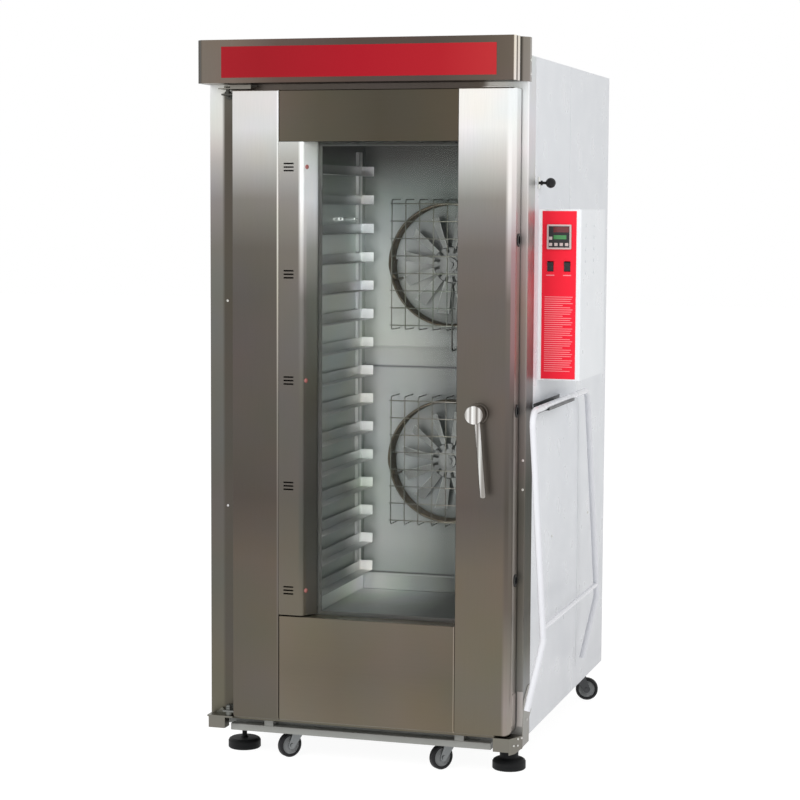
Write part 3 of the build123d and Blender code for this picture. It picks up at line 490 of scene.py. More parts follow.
def mesh_piece(
    name: str, mesh: bmesh.types.BMesh, body: str, material: bpy.types.Material
) -> bpy.types.Object:
    """Turn a working mesh into a finished piece that rides on a body.

    Args:
        name: Name of the piece.
        mesh: Working mesh in the row frame. It is freed.
        body: Name of the body it moves with.
        material: Its finish.

    Returns:
        The new object.
    """
    bmesh.ops.recalc_face_normals(mesh, faces=mesh.faces[:])
    for face in mesh.faces:
        face.smooth = True
    for edge in mesh.edges:
        edge.smooth = edge.is_manifold and edge.calc_face_angle(0.0) < ROUND_BELOW
    data = bpy.data.meshes.new(name)
    mesh.to_mesh(data)
    mesh.free()
    data.materials.append(material)
    piece = new_object(name, data)
    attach(piece, body)
    log.info("%s rides on %s, %d faces", name, body, len(data.polygons))
    return piece


def merge_into(mesh: bmesh.types.BMesh, part: bmesh.types.BMesh) -> None:
    """Copy one working mesh into another and free it.

    Args:
        mesh: Working mesh that grows.
        part: Working mesh that is used up.
    """
    data = bpy.data.meshes.new("joined")
    part.to_mesh(data)
    part.free()
    mesh.from_mesh(data)
    bpy.data.meshes.remove(data)


def add_box(mesh: bmesh.types.BMesh, low: Vector, high: Vector, bevel: float = 0.0) -> None:
    """Add a box with rounded edges to a working mesh.

    Args:
        mesh: Working mesh.
        low: Lowest corner.
        high: Highest corner.
        bevel: Radius of the edges, in metres.
    """
    part = bmesh.new()
    bmesh.ops.create_cube(part, size=1.0)
    middle, size = (low + high) / 2, high - low
    for vertex in part.verts:
        vertex.co = middle + vertex.co * size
    if bevel > 0:
        bmesh.ops.bevel(
            part, geom=part.edges[:], offset=bevel, segments=2, profile=0.6, affect="EDGES"
        )
    merge_into(mesh, part)


def add_lathe(
    mesh: bmesh.types.BMesh, profile: list[tuple[float, float]], origin: Vector, axis: Vector,
    steps: int,
) -> None:
    """Add a closed turned shape to a working mesh.

    Args:
        mesh: Working mesh.
        profile: Radius and distance along the axis, in metres, from one pole to the other.
        origin: Where the axis distance is nought.
        axis: Direction of the axis.
        steps: Sides of the turned shape.
    """
    part = bmesh.new()
    turn = axis.to_track_quat("Z", "Y")
    rings = []
    for radius, along in profile:
        ring = []
        for step in range(1 if radius < 1e-6 else steps):
            angle = 2 * math.pi * step / steps
            offset = Vector((radius * math.cos(angle), radius * math.sin(angle), along))
            ring.append(part.verts.new(origin + turn @ offset))
        rings.append(ring)
    for one, two in zip(rings, rings[1:]):
        for step in range(steps):
            after = (step + 1) % steps
            corners = [
                one[step % len(one)],
                one[after % len(one)],
                two[after % len(two)],
                two[step % len(two)],
            ]
            unique = list(dict.fromkeys(corners))
            if len(unique) > 2:
                part.faces.new(unique)
    merge_into(mesh, part)


def open_tree(
    name: str, inputs: dict[str, str]
) -> tuple[bpy.types.GeometryNodeTree, bpy.types.Node]:
    """Start a geometry tree that takes geometry and gives geometry back.

    Args:
        name: Name of the tree.
        inputs: Kinds of its further inputs, by their names.

    Returns:
        The tree and its input node.
    """
    tree = bpy.data.node_groups.new(name, "GeometryNodeTree")
    for label, kind in {"Geometry": "Geometry", **inputs}.items():
        tree.interface.new_socket(label, in_out="INPUT", socket_type=f"NodeSocket{kind}")
    tree.interface.new_socket("Geometry", in_out="OUTPUT", socket_type="NodeSocketGeometry")
    return tree, add_node(tree, "NodeGroupInput")


def close_tree(
    tree: bpy.types.GeometryNodeTree, copies: bpy.types.NodeSocket, finish: bpy.types.NodeSocket
) -> None:
    """End a geometry tree in real geometry that carries its finish.

    Args:
        tree: Geometry tree.
        copies: Socket that gives the instances.
        finish: Socket that gives the material.
    """
    real = add_node(tree, "GeometryNodeRealizeInstances", {}, {"Geometry": copies})
    painted = add_node(
        tree, "GeometryNodeSetMaterial", {},
        {"Geometry": real.outputs["Geometry"], "Material": finish},
    )
    add_node(tree, "NodeGroupOutput", {}, {"Geometry": painted.outputs["Geometry"]})


def repeated_bar_tree() -> bpy.types.GeometryNodeTree:
    """Make the tree that turns a bare run of edges into a row of round bent bars.

    Returns:
        A geometry tree with named inputs for the count, step, bar and bend sizes and the finish.
    """
    tree, given = open_tree(
        "RepeatedBar",
        {
            "Count": "Int", "Step": "Vector", "Bar radius": "Float", "Bend radius": "Float",
            "Finish": "Material",
        },
    )
    path = add_node(tree, "GeometryNodeMeshToCurve", {}, {"Mesh": given.outputs["Geometry"]})
    bent = add_node(
        tree, "GeometryNodeFilletCurve", {"mode": "POLY", "Count": 5, "Limit Radius": True},
        {"Curve": path.outputs["Curve"], "Radius": given.outputs["Bend radius"]},
    )
    ring = add_node(
        tree, "GeometryNodeCurvePrimitiveCircle", {"Resolution": 10},
        {"Radius": given.outputs["Bar radius"]},
    )
    bar = add_node(
        tree, "GeometryNodeCurveToMesh", {"Fill Caps": True},
        {"Curve": bent.outputs["Curve"], "Profile Curve": ring.outputs["Curve"]},
    )
    smooth = add_node(tree, "GeometryNodeSetShadeSmooth", {}, {"Geometry": bar.outputs["Mesh"]})
    row = add_node(
        tree, "GeometryNodeMeshLine", {"mode": "OFFSET"},
        {"Count": given.outputs["Count"], "Offset": given.outputs["Step"]},
    )
    spread = add_node(
        tree, "GeometryNodeInstanceOnPoints", {},
        {"Points": row.outputs["Mesh"], "Instance": smooth.outputs["Geometry"]},
    )
    close_tree(tree, spread.outputs["Instances"], given.outputs["Finish"])
    return tree


def fastener_tree() -> bpy.types.GeometryNodeTree:
    """Make the tree that sets one fastener head on each point, turned and sized as the point says.

    Returns:
        A geometry tree with named inputs for the head and the finish.
    """
    tree, given = open_tree("FastenerHeads", {"Head": "Object", "Finish": "Material"})
    head = add_node(tree, "GeometryNodeObjectInfo", {}, {"Object": given.outputs["Head"]})
    facing, size = (
        add_node(
            tree, "GeometryNodeInputNamedAttribute", {"data_type": "FLOAT_VECTOR", "Name": label}
        )
        for label in ("facing", "size")
    )
    turn = add_node(
        tree, "FunctionNodeAlignRotationToVector", {"axis": "Z"},
        {"Vector": facing.outputs["Attribute"]},
    )
    spread = add_node(
        tree, "GeometryNodeInstanceOnPoints", {},
        {
            "Points": given.outputs["Geometry"], "Instance": head.outputs["Geometry"],
            "Rotation": turn.outputs["Rotation"], "Scale": size.outputs["Attribute"],
        },
    )
    close_tree(tree, spread.outputs["Instances"], given.outputs["Finish"])
    return tree


def group_root(root: list[int], index: int) -> int:
    """Follow the links to the first point of a group, and shorten them on the way.

    Args:
        root: Link of every point to another of its group.
        index: Point to start from.

    Returns:
        The group's first point.
    """
    while root[index] != index:
        root[index] = root[root[index]]
        index = root[index]
    return index


def solid_boxes(name: str) -> list[tuple[Vector, Vector]]:
    """Find the box of every separate solid in a CAD node.

    Args:
        name: Name of the node.

    Returns:
        Lowest and highest corner of each solid, in the row frame.
    """
    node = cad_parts[name]
    spots = [node.matrix_world @ vertex.co for vertex in node.data.vertices]
    # Touching points that the import keeps apart are told by their place, to 0.05 mm.
    leader = {}
    root = list(range(len(spots)))
    for index, spot in enumerate(spots):
        key = tuple(round(value * 20000) for value in spot)
        root[group_root(root, index)] = group_root(root, leader.setdefault(key, index))
    for edge in node.data.edges:
        one, two = edge.vertices
        root[group_root(root, one)] = group_root(root, two)
    groups = {}
    for index, spot in enumerate(spots):
        groups.setdefault(group_root(root, index), []).append(spot)
    return [
        (Vector([min(axis) for axis in zip(*group)]), Vector([max(axis) for axis in zip(*group)]))
        for group in groups.values()
    ]


def grown_piece(
    name: str, seed: bpy.types.Mesh, tree: bpy.types.GeometryNodeTree, values: dict, body: str,
) -> bpy.types.Object:
    """Run a geometry tree on a seed mesh and keep its result as a plain mesh.

    Args:
        name: Name of the piece.
        seed: Mesh that the tree starts from, in the row frame.
        tree: Geometry tree.
        values: Values by the names of the tree's inputs.
        body: Name of the body the piece moves with.

    Returns:
        The finished object.
    """
    piece = new_object(name, seed)
    modifier = piece.modifiers.new("grow", "NODES")
    modifier.node_group = tree
    sockets = {s.name: s.identifier for s in tree.interface.items_tree if s.in_out == "INPUT"}
    for label, value in values.items():
        modifier[sockets[label]] = value
    bpy.context.view_layer.update()
    graph = bpy.context.evaluated_depsgraph_get()
    result = bpy.data.meshes.new_from_object(piece.evaluated_get(graph), depsgraph=graph)
    piece.modifiers.clear()
    piece.data = result
    result.name = name
    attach(piece, body)
    log.info("%s rides on %s, %d faces", name, body, len(result.polygons))
    return piece


def path_mesh(name: str, points: list[Vector]) -> bpy.types.Mesh:
    """Make a mesh of one open run of edges.

    Args:
        name: Name of the mesh.
        points: Points of the run, in order.

    Returns:
        The mesh.
    """
    data = bpy.data.meshes.new(name)
    edges = [(i, i + 1) for i in range(len(points) - 1)]
    data.from_pydata([tuple(p) for p in points], edges, [])
    return data


def dress(material: bpy.types.Material, *names: str) -> None:
    """Give CAD nodes a finish.

    Args:
        material: The finish.
        names: Nodes that get it.
    """
    for name in names:
        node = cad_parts[name]
        node.data.materials.clear()
        node.data.materials.append(material)
        log.info("%s gets %s", name, material.name)


# Tones: places along one axis, in rising order, and the colour at each.
# Door front, by height: painted light, warm grey below and white near the hood.
DOOR_FRONT = (
    (120, "#70695e"), (260, "#70695e"), (400, "#6f685a"), (620, "#6f6559"), (810, "#5f5852"),
    (1100, "#68615a"), (1400, "#6b6560"), (1545, "#736d67"), (1690, "#94908a"), (1810, "#d4d2ce"),
    (1895, "#f6f5f3"), (2005, "#fbfaf8"),
)
# Right fold of the left door skin, by height: a painted highlight, paler than the door front.
SEAM = (
    (120, "#6b645a"), (367, "#6b645a"), (808, "#736d67"), (1102, "#8f8982"), (1396, "#bdb7ae"),
    (1690, "#ebe7e1"), (1955, "#ffffff"),
)
# Last flat of the right door skin before its roll, by height: a painted highlight along the edge.
SKIN_EDGE = (
    (120, "#978d87"), (220, "#968c86"), (380, "#80776f"), (514, "#696159"), (808, "#554f48"),
    (1102, "#66605b"), (1396, "#756c66"), (1543, "#b0a5a1"), (1690, "#f2f0ec"), (1850, "#fefdfb"),
    (2005, "#ffffff"),
)
# Rolled edge of the right door skin, by height: painted light, and a pink painted reflection of the
# red front beside it.
SKIN_ROLL = (
    (120, "#968e87"), (220, "#958d86"), (514, "#696259"), (867, "#605b55"), (1102, "#635e59"),
    (1160, "#73635f"), (1249, "#927273"), (1396, "#9a7d7d"), (1543, "#aa8d8e"), (1640, "#cfc8c5"),
    (1896, "#fdfdfb"), (2005, "#ffffff"),
)
# Narrow side of the right door skin, by height: painted light, with a pink painted reflection of
# the red front.
SKIN_SIDE = (
    (120, "#c4bcb6"), (220, "#bcb4ad"), (514, "#b8b1aa"), (867, "#b8b1aa"), (1102, "#aea6a0"),
    (1160, "#b59f99"), (1249, "#cfaaa6"), (1543, "#cdb0ae"), (1690, "#cfcdc9"), (1896, "#f4f4f2"),
    (2005, "#ffffff"),
)
# Lower door panel, by height.
LOWER_PANEL = ((120, "#766e61"), (300, "#6e6659"), (480, "#736b5d"), (2100, "#6b6456"))
# Ledge below the window, from left to right: painted light on its top, dimmer to the right.
LEDGE = ((-246, "#b8b0a0"), (100, "#b8b0a0"), (296, "#8f887b"))
# Upper door panel, from left to right: painted shade under the hood, darkest in the middle.
UPPER_PANEL = (
    (-246, "#675f54"), (-120, "#5a554a"), (60, "#524d41"), (160, "#544f43"), (296, "#5a5246"),
)
# Lamp cover by height: its face, its bend and its slope. All are painted light; the bend carries a
# painted highlight and the slope is painted white near the top.
COVER_FACE = (
    (514, "#655f53"), (661, "#60594e"), (808, "#57534c"), (1102, "#5c5753"), (1396, "#66615c"),
    (1543, "#6d6761"), (1690, "#84807c"), (1808, "#aaa7a3"), (1860, "#c2c0bd"),
)
COVER_BEND = (
    (514, "#655f53"), (661, "#535149"), (808, "#4f4e49"), (1102, "#5e5a53"), (1396, "#787470"),
    (1543, "#c4c0bd"), (1690, "#ffffff"), (1808, "#ffffff"),
)
COVER_SIDE = (
    (514, "#5c5953"), (808, "#4c4c47"), (1102, "#5a584f"), (1396, "#70716a"), (1543, "#a2a39d"),
    (1690, "#ffffff"), (1808, "#ffffff"),
)
# Back of the door, by height: painted lighter towards the top of the window, then a dark band.
INNER_DOOR = (
    (130, "#7c7c78"), (470, "#7c7c78"), (480, "#6c6c68"), (1396, "#767671"), (1690, "#7f7f7b"),
    (1808, "#93938f"), (1842, "#8d8d89"), (1850, "#585855"), (2020, "#5a5a56"),
)
# Handle, from left to right: painted reflection, the bands that round polished steel mirrors.
GRIP = (
    (300, "#c9c6c2"), (338, "#a9a5a0"), (347, "#efedea"), (353, "#8b8680"), (358, "#fbfaf8"),
    (366, "#d9d6d2"), (372, "#77716b"), (379, "#e8e6e2"), (386, "#98938d"), (430, "#bdb9b4"),
)
# Hood front, from left to right: painted reflection, dark at the left end.
HOOD_FRONT = (
    (-490, "#45423c"), (-477, "#45423c"), (-474, "#7b736a"), (-380, "#7c6f66"), (-240, "#67584f"),
    (-20, "#5c4e48"), (220, "#584e49"), (380, "#655a53"), (462, "#6e645c"),
)
# Right end of the hood, from front to back: two bright beads, their brightness a painted highlight.
HOOD_END = (
    (-94, "#655b53"), (-91, "#efe6df"), (-75, "#efe6df"), (-71, "#5a504a"), (-60, "#5a504a"),
    (-57, "#e6dcd5"), (-44, "#e6dcd5"), (-40, "#443e38"), (-28, "#4c4640"), (-22, "#8c837c"),
    (19, "#9a918b"),
)
# Red band of the hood, from left to right: painted light, brighter to the right.
HOOD_RED = (
    (-450, "#8e1922"), (-300, "#89151e"), (0, "#971421"), (250, "#9f1c25"), (400, "#ab2b2f"),
)
# Front frame by height: left of the door, right of it, in the gap and its side. All but the gap are
# painted light, white near the top, with a painted highlight right of the door.
FRAME_LEFT = (
    (120, "#6d685c"), (400, "#6b675c"), (514, "#68655c"), (808, "#67635d"), (1102, "#6b6a63"),
    (1396, "#75736d"), (1543, "#7b7873"), (1690, "#918e8a"), (1808, "#bcb8b4"), (1896, "#e0dedb"),
    (2005, "#f0eeed"),
)
FRAME_RIGHT = (
    (120, "#989793"), (260, "#8b8984"), (514, "#6e6a63"), (808, "#65625c"), (1102, "#88837f"),
    (1396, "#a59792"), (1543, "#b8ada9"), (1690, "#dad7d4"), (1850, "#ffffff"), (1990, "#ffffff"),
)
BESIDE_DOOR = ((120, "#5b564e"), (1300, "#58534b"), (1900, "#5d5851"), (2003, "#6a665f"))
FRAME_SIDE = (
    (120, "#b9b8b8"), (260, "#a8a8a5"), (400, "#77756f"), (545, "#67645d"), (867, "#53544c"),
    (1110, "#8b8986"), (1400, "#d2c4c3"), (1690, "#dedcda"), (1900, "#f6f5f6"), (2005, "#f6f5f6"),
)
# Front frame above the door, from left to right: painted shade under the hood in the middle.
ABOVE_DOOR = (
    (-486, "#f4f3f2"), (-425, "#e2e0de"), (-412, "#857d76"), (-100, "#7b726b"), (330, "#776f67"),
    (352, "#857d76"), (372, "#f4f2f0"), (486, "#ffffff"),
)
# Rear chamber wall by height, with its three dark joints: left, then right.
# Both are painted darker under the ceiling, and the right one is painted shade throughout.
REAR_WALL = (
    (350, "#bcc0bd"), (412, "#cacfcb"), (413, "#484a48"), (418, "#484a48"), (420, "#a4aba7"),
    (520, "#b0b5b2"), (742, "#a4a8a5"), (1124, "#9fa29f"), (1126, "#55575a"), (1130, "#55575a"),
    (1132, "#a4a7a4"), (1188, "#a4a7a4"), (1190, "#5a5c5a"), (1193, "#5a5c5a"), (1195, "#b0b4b0"),
    (1525, "#aeb3af"), (1695, "#929a95"), (1831, "#4e4e4b"), (1905, "#3c3c39"),
)
REAR_WALL_SHADE = (
    (350, "#5d605d"), (412, "#646765"), (413, "#202020"), (418, "#202020"), (420, "#505452"),
    (520, "#575a58"), (742, "#505351"), (1124, "#4e504e"), (1126, "#272729"), (1130, "#272729"),
    (1132, "#505250"), (1188, "#505250"), (1190, "#292a29"), (1193, "#292a29"), (1195, "#575957"),
    (1525, "#565857"), (1695, "#5f6562"), (1831, "#484845"), (1905, "#3a3a37"),
)
# Side chamber walls by height, with two dark joints: painted light brightest near the window's
# middle, painted shade under the ceiling.
SIDE_WALL = (
    (350, "#7f827e"), (412, "#8b8e8a"), (413, "#3e3f3c"), (418, "#4c4d4b"), (420, "#939993"),
    (511, "#939993"), (1124, "#afb4af"), (1126, "#5d5f5d"), (1130, "#5d5f5d"), (1132, "#afb4af"),
    (1500, "#e0e6e0"), (1700, "#b9beb9"), (1850, "#565653"), (1905, "#454542"),
)
# Floor pan, from front to back: its left, its right and its side upstands. All are painted light:
# dark in front, pale at the back, in painted shade on the right.
PAN = ((-5, "#61645f"), (350, "#747873"), (700, "#b5b9b4"), (1000, "#f0f4f0"))
PAN_SHADE = ((-5, "#2d302c"), (350, "#313230"), (700, "#454644"), (1000, "#5b5c5b"))
UPSTAND = ((0, "#a2a5a1"), (600, "#d4d8d3"), (1000, "#ffffff"))
# Rear upstand of the pan, from left to right: painted shade, darker to the right.
BACK_UPSTAND = ((-315, "#c4c7c4"), (-260, "#b2b6b2"), (-130, "#777a77"), (0, "#404340"))
# Far ends of the tray rails, and their tabs, by height: painted light, the tabs a painted
# highlight.
RAIL_ENDS = (
    (400, "#c0c2c0"), (700, "#b0b4b0"), (1100, "#b7bab7"), (1500, "#cacaca"), (1700, "#cacaca"),
    (1780, "#cacaca"), (1900, "#9ea09e"),
)
TAB_FACES = (
    (400, "#fbfdfb"), (700, "#dce0dc"), (1100, "#e2e5e2"), (1440, "#f4f4f4"), (1500, "#fefefe"),
    (1605, "#ffffff"), (1700, "#ffffff"), (1780, "#fefefe"), (1900, "#bfc2bf"),
)
# Control box, from left to right: white front border, then the side; the pure white of the border
# is painted light.
BOX_BORDER = ((486, "#ffffff"), (503, "#ffffff"), (507, "#e7eaed"), (700, "#e7eaed"))


@dataclass
class Finishes:
    """Every finish of the oven, built once."""

    made: dict[str, bpy.types.Material] = field(default_factory=dict)

    def build(self) -> None:
        """Make all the materials."""
        for group in (self.outer_steel, self.chamber_steel, self.small_steel, self.coatings):
            for finish in group():
                self.made[finish.name] = finish.build()
                log.info("finish %s", finish.name)

    def get(self, name: str) -> bpy.types.Material:
        """Look up a finish by its name."""
        return self.made[name]

    def outer_steel(self) -> list[BrushedSteel]:
        """List the satin-brushed sheets of the door, frame and hood.

        Returns:
            Their finishes.
        """
        return [
            # Brushed upright: a soft vertical sheen, with painted light that is white near the
            # hood, dim below and a little brighter to the right.
            BrushedSteel(
                "stainless_satin_door", DOOR_FRONT,
                across=((-390, "#e6e6e6"), (-250, "#e9e9e9"), (290, "#ffffff"), (465, "#ffffff")),
                edge=0.8,
                facets=(
                    Facet("X", -252.0, "Z", SEAM, 1.5),
                    Facet("X", 0.0, "Z", DOOR_FRONT, 10.0),
                    Facet("X", 436, "Z", SKIN_EDGE, 9.0),
                    Facet("X", 452, "Z", SKIN_ROLL, 3.0),
                    Facet("Y", -57, "Z", SKIN_SIDE, 4.0),
                ),
            ),
            # Brushed across: an even warm grey panel; its paler ledge and right fold are painted
            # light.
            BrushedSteel(
                "stainless_satin_lower_panel", LOWER_PANEL, Grain.ACROSS,
                across=((-246, "#ffffff"), (-60, "#f0f0f0"), (120, "#f6f6f6"), (296, "#eeeeee")),
                facets=(
                    Facet("X", 291.0, "Z", ((120, "#93897c"), (480, "#8d8376")), 1.0),
                    Facet("Z", 456.2, "X", LEDGE, 0.5),
                ),
            ),
            # Brushed across under the hood: the darkest sheet, in painted shade, with hardly any
            # sheen.
            BrushedSteel("stainless_satin_upper_panel", UPPER_PANEL, Grain.ACROSS, axis="X"),
            # Brushed hood: a dull warm brown-grey of painted reflection, with painted highlights on
            # the rolled beads at its end.
            BrushedSteel(
                "stainless_satin_hood", HOOD_FRONT, axis="X",
                facets=(Facet("X", 461.6, "Y", HOOD_END, 1.0),),
            ),
            # Brushed frame: blurs more than the door, and its right side carries painted light;
            # painted shade darkens it under the hood.
            BrushedSteel(
                "stainless_satin_frame", FRAME_LEFT, roughness=0.42, edge=0.5,
                facets=(
                    Facet("X", -447, "Z", BESIDE_DOOR, 9.0),
                    Facet("X", -402, "Z", FRAME_LEFT, 12.0),
                    Facet("X", 430, "Z", FRAME_RIGHT, 10.0),
                    Facet("Z", 2001, "X", ABOVE_DOOR, 3.0),
                    Facet("Y", 1.5, "Z", FRAME_SIDE, 3.0),
                ),
            ),
            # Brushed lamp cover: a grey face, and a slope towards the window that is painted white
            # on top, with a painted highlight on the bend.
            BrushedSteel(
                "stainless_satin_lamp_cover", COVER_FACE, roughness=0.4, metal=0.5,
                facets=(
                    Facet("X", -186.0, "Z", COVER_BEND, 9.0),
                    Facet("X", -166.0, "Z", COVER_SIDE, 3.0),
                ),
            ),
            # Cut plate, not brushed: plain mid grey brackets, with painted light that makes them a
            # little paler higher up.
            BrushedSteel(
                "stainless_cut_bracket", ((90, "#7b7870"), (2100, "#8f8c86")), Grain.NONE, 2.5
            ),
            # Cut and folded plate: mid grey below, a pale flap beside the door.
            BrushedSteel(
                "stainless_folded_corner",
                ((90, "#7b7870"), (155, "#7d7a72"), (163, "#b5b0ab"), (264, "#b8b3ae")),
                Grain.NONE, 2.5,
                facets=(Facet("X", 486.5, "Z", ((90, "#7b7870"), (264, "#85827a")), 1.0),),
            ),
            # Back of the door, brushed and dulled by heat: a flat grey, painted lighter towards the
            # top of the window, with a dark top band.
            BrushedSteel(
                "stainless_satin_inner_door", INNER_DOOR, roughness=0.45, metal=0.9, edge=0.5
            ),
        ]

    def chamber_steel(self) -> list[BrushedSteel]:
        """List the mill-finished sheets inside, which baking has dulled.

        Returns:
            Their finishes.
        """
        coarse = {"grain": Grain.ACROSS, "scratch_mm": 6.0}
        return [
            # Mill-finished rear wall: cool and cloudy, with painted shade to the right and under
            # the ceiling.
            BrushedSteel(
                "stainless_mill_rear_wall", REAR_WALL, **coarse, roughness=0.5, wear=0.03,
                metal=0.7, facets=(Facet("X", -300.0, "Z", REAR_WALL_SHADE, 280.0),),
            ),
            # Mill-finished side walls: the same sheet, painted brightest at the middle of the
            # window.
            BrushedSteel("stainless_mill_side_wall", SIDE_WALL, **coarse, roughness=0.5, metal=0.7),
            # Mill-finished pan: painted shade in front and to the right, painted light towards the
            # back.
            BrushedSteel(
                "stainless_mill_pan", PAN, **coarse, roughness=0.42, wear=0.06, axis="Y", metal=0.8,
                facets=(
                    Facet("X", -270.0, "Y", PAN_SHADE, 300.0),
                    Facet("Z", 361.0, "Y", UPSTAND, 2.0),
                    Facet("Y", 985.0, "X", BACK_UPSTAND, 3.0),
                ),
            ),
            # Pressed tray rails: matt grey painted a little lighter upwards, with painted light on
            # the ends and a painted highlight on the tabs.
            BrushedSteel(
                "stainless_pressed_rails",
                ((400, "#888b88"), (900, "#979a97"), (1900, "#a3a6a3")),
                Grain.ACROSS, 3.0, 0.4, metal=0.5,
                facets=(
                    Facet("Y", 740, "Z", RAIL_ENDS, 110.0),
                    Facet("Y", 906, "Z", TAB_FACES, 12.0),
                ),
            ),
        ]

    def small_steel(self) -> list[BrushedSteel]:
        """List the steels of the small parts, none of them brushed one way.

        Returns:
            Their finishes.
        """
        plain = {"grain": Grain.NONE, "scratch_mm": 3.0}
        return [
            # Turned and tumbled: pale, clean and shiny, with painted light that makes it a little
            # paler higher up.
            BrushedSteel(
                "stainless_turned_bright",
                ((0, "#c9c7c3"), (2100, "#dddbd7")),
                **plain, roughness=0.22,
            ),
            # Polished handle: narrow bright and dark bands of painted reflection, as round steel
            # shows the room.
            BrushedSteel(
                "stainless_polished_grip", GRIP, **plain, roughness=0.2, wear=0.03, axis="X"
            ),
            # Drawn wire, browned by heat: thin dark lines, with painted light that makes them a
            # little paler higher up.
            BrushedSteel(
                "stainless_drawn_wire",
                ((0, "#62625b"), (2100, "#696962")),
                **plain, roughness=0.3, wear=0.1,
            ),
            # Drawn tube with heat scale: darker than the wire and duller, with painted light that
            # makes it a little paler higher up.
            BrushedSteel(
                "stainless_scaled_tube",
                ((0, "#4a4a45"), (2100, "#504f4a")),
                **plain, roughness=0.35, wear=0.1,
            ),
        ]

    def coatings(self) -> list[Coating | Pane]:
        """List the paints, films, plastics, rubbers, platings and the glass.

        Returns:
            Their finishes.
        """
        film = {"grain_mm": 2.0, "bump": 0.01}
        lens = {"grain_mm": 1.0, "coat": 0.5, "bump": 0.0}
        return [
            # Powder coat on the outer panels: smooth cool white, with painted shade that greys it
            # near the floor.
            Coating(
                "powder_coat_white",
                "#dfe2e6", "#dadde2", 2.2, bump=0.0, mottling=0.2, shine=0.35, lower="#d5d7db",
            ),
            # Powder coat on the control box: the same white, with painted light that makes its
            # front border pure white.
            Coating(
                "powder_coat_box",
                "#e8ebee", "#e3e6ea", 2.2, bump=0.0, shine=0.35, sweep=BOX_BORDER,
            ),
            # Enamel on the base rail: matt warm grey.
            Coating("enamel_grey_rail", "#9c9d99", "#8f908c", 2.0, 0.42),
            # Enamel on cast motor shells: dark blue-grey.
            Coating("enamel_motor", "#3d4347", "#34393d", 2.0, 0.45),
            # Powder coat on bent tube: white with a thin gloss line along it.
            Coating(
                "powder_coat_tube", "#e2e3e8", "#d9dade", 1.6, 0.25, coat=0.2, bump=0.0, shine=0.4
            ),
            # Printed vinyl film: flat deep red without a highlight, with painted light brighter to
            # the right.
            Coating(
                "vinyl_film_hood",
                "#ad1a24", "#a51822", roughness=0.5, shine=0.12, sweep=HOOD_RED, **film,
            ),
            # Printed polyester film: flat clear red.
            Coating(
                "polyester_film_panel", "#f6293d", "#f02437", roughness=0.45, shine=0.15, **film
            ),
            # Screen print: pale rules that the red shows through.
            Coating("screen_print_pale", "#f9969d", "#f48b93", roughness=0.5, shine=0.15, **film),
            # Oxidised heater tube: blotchy brown and near-black, dull.
            Coating(
                "oxidised_heater_tube",
                "#594f3d", "#38332b", 5.0, 0.45, metallic=0.5, bump=0.1, mottling=1.0,
                patch_mm=22.0,
            ),
            # Moulded rubber: black, matt and slightly rough.
            Coating("rubber_moulded_foot", "#101112", "#17181a", 1.2, 0.6, bump=0.25, shine=0.25),
            # Extruded silicone seal: warm black, matt.
            Coating("silicone_extruded_seal", "#2a2826", "#201e1c", 1.5, 0.6, bump=0.2),
            # Moulded ABS: black with a fine satin texture.
            Coating("abs_moulded_black", "#1d1e20", "#242527", 0.8, 0.32, bump=0.1),
            # Moulded and polished phenolic knob: deep black with one sharp highlight.
            Coating(
                "phenolic_polished_knob", "#0d0e10", "#131417", 2.0, 0.12, coat=0.1, bump=0.0,
                shine=0.3,
            ),
            # Moulded ABS rim and keys: pale grey with a pink painted reflection of the red film
            # around it.
            Coating("abs_moulded_rim", "#c9b9b6", "#bfaeab", 1.0, 0.35, bump=0.05),
            # Tinted acrylic windows: dark glossy red, and green painted bright as if lit.
            Coating("acrylic_tinted_red", "#6b1d22", "#5a171c", roughness=0.12, **lens),
            Coating("acrylic_tinted_green", "#3f8a4c", "#387f46", roughness=0.15, **lens),
            # Moulded silicone plugs: dusty red, a little waxy.
            Coating("silicone_moulded_plug", "#a4635d", "#8f5751", 1.0, 0.25, coat=0.4, bump=0.02),
            # Zinc plating in a lit and a painted-shade copy: dark behind, paler on the front
            # castors.
            Coating("zinc_plated_dark", "#4b4c4e", "#5a5b5c", 3.0, 0.4, 0.8),
            Coating("zinc_plated_bright", "#8d9091", "#7e8182", 3.0, 0.35, 0.8),
            # Float glass: nearly clear, a breath of green and smears about 250 mm wide.
            Pane("float_glass"),
        ]


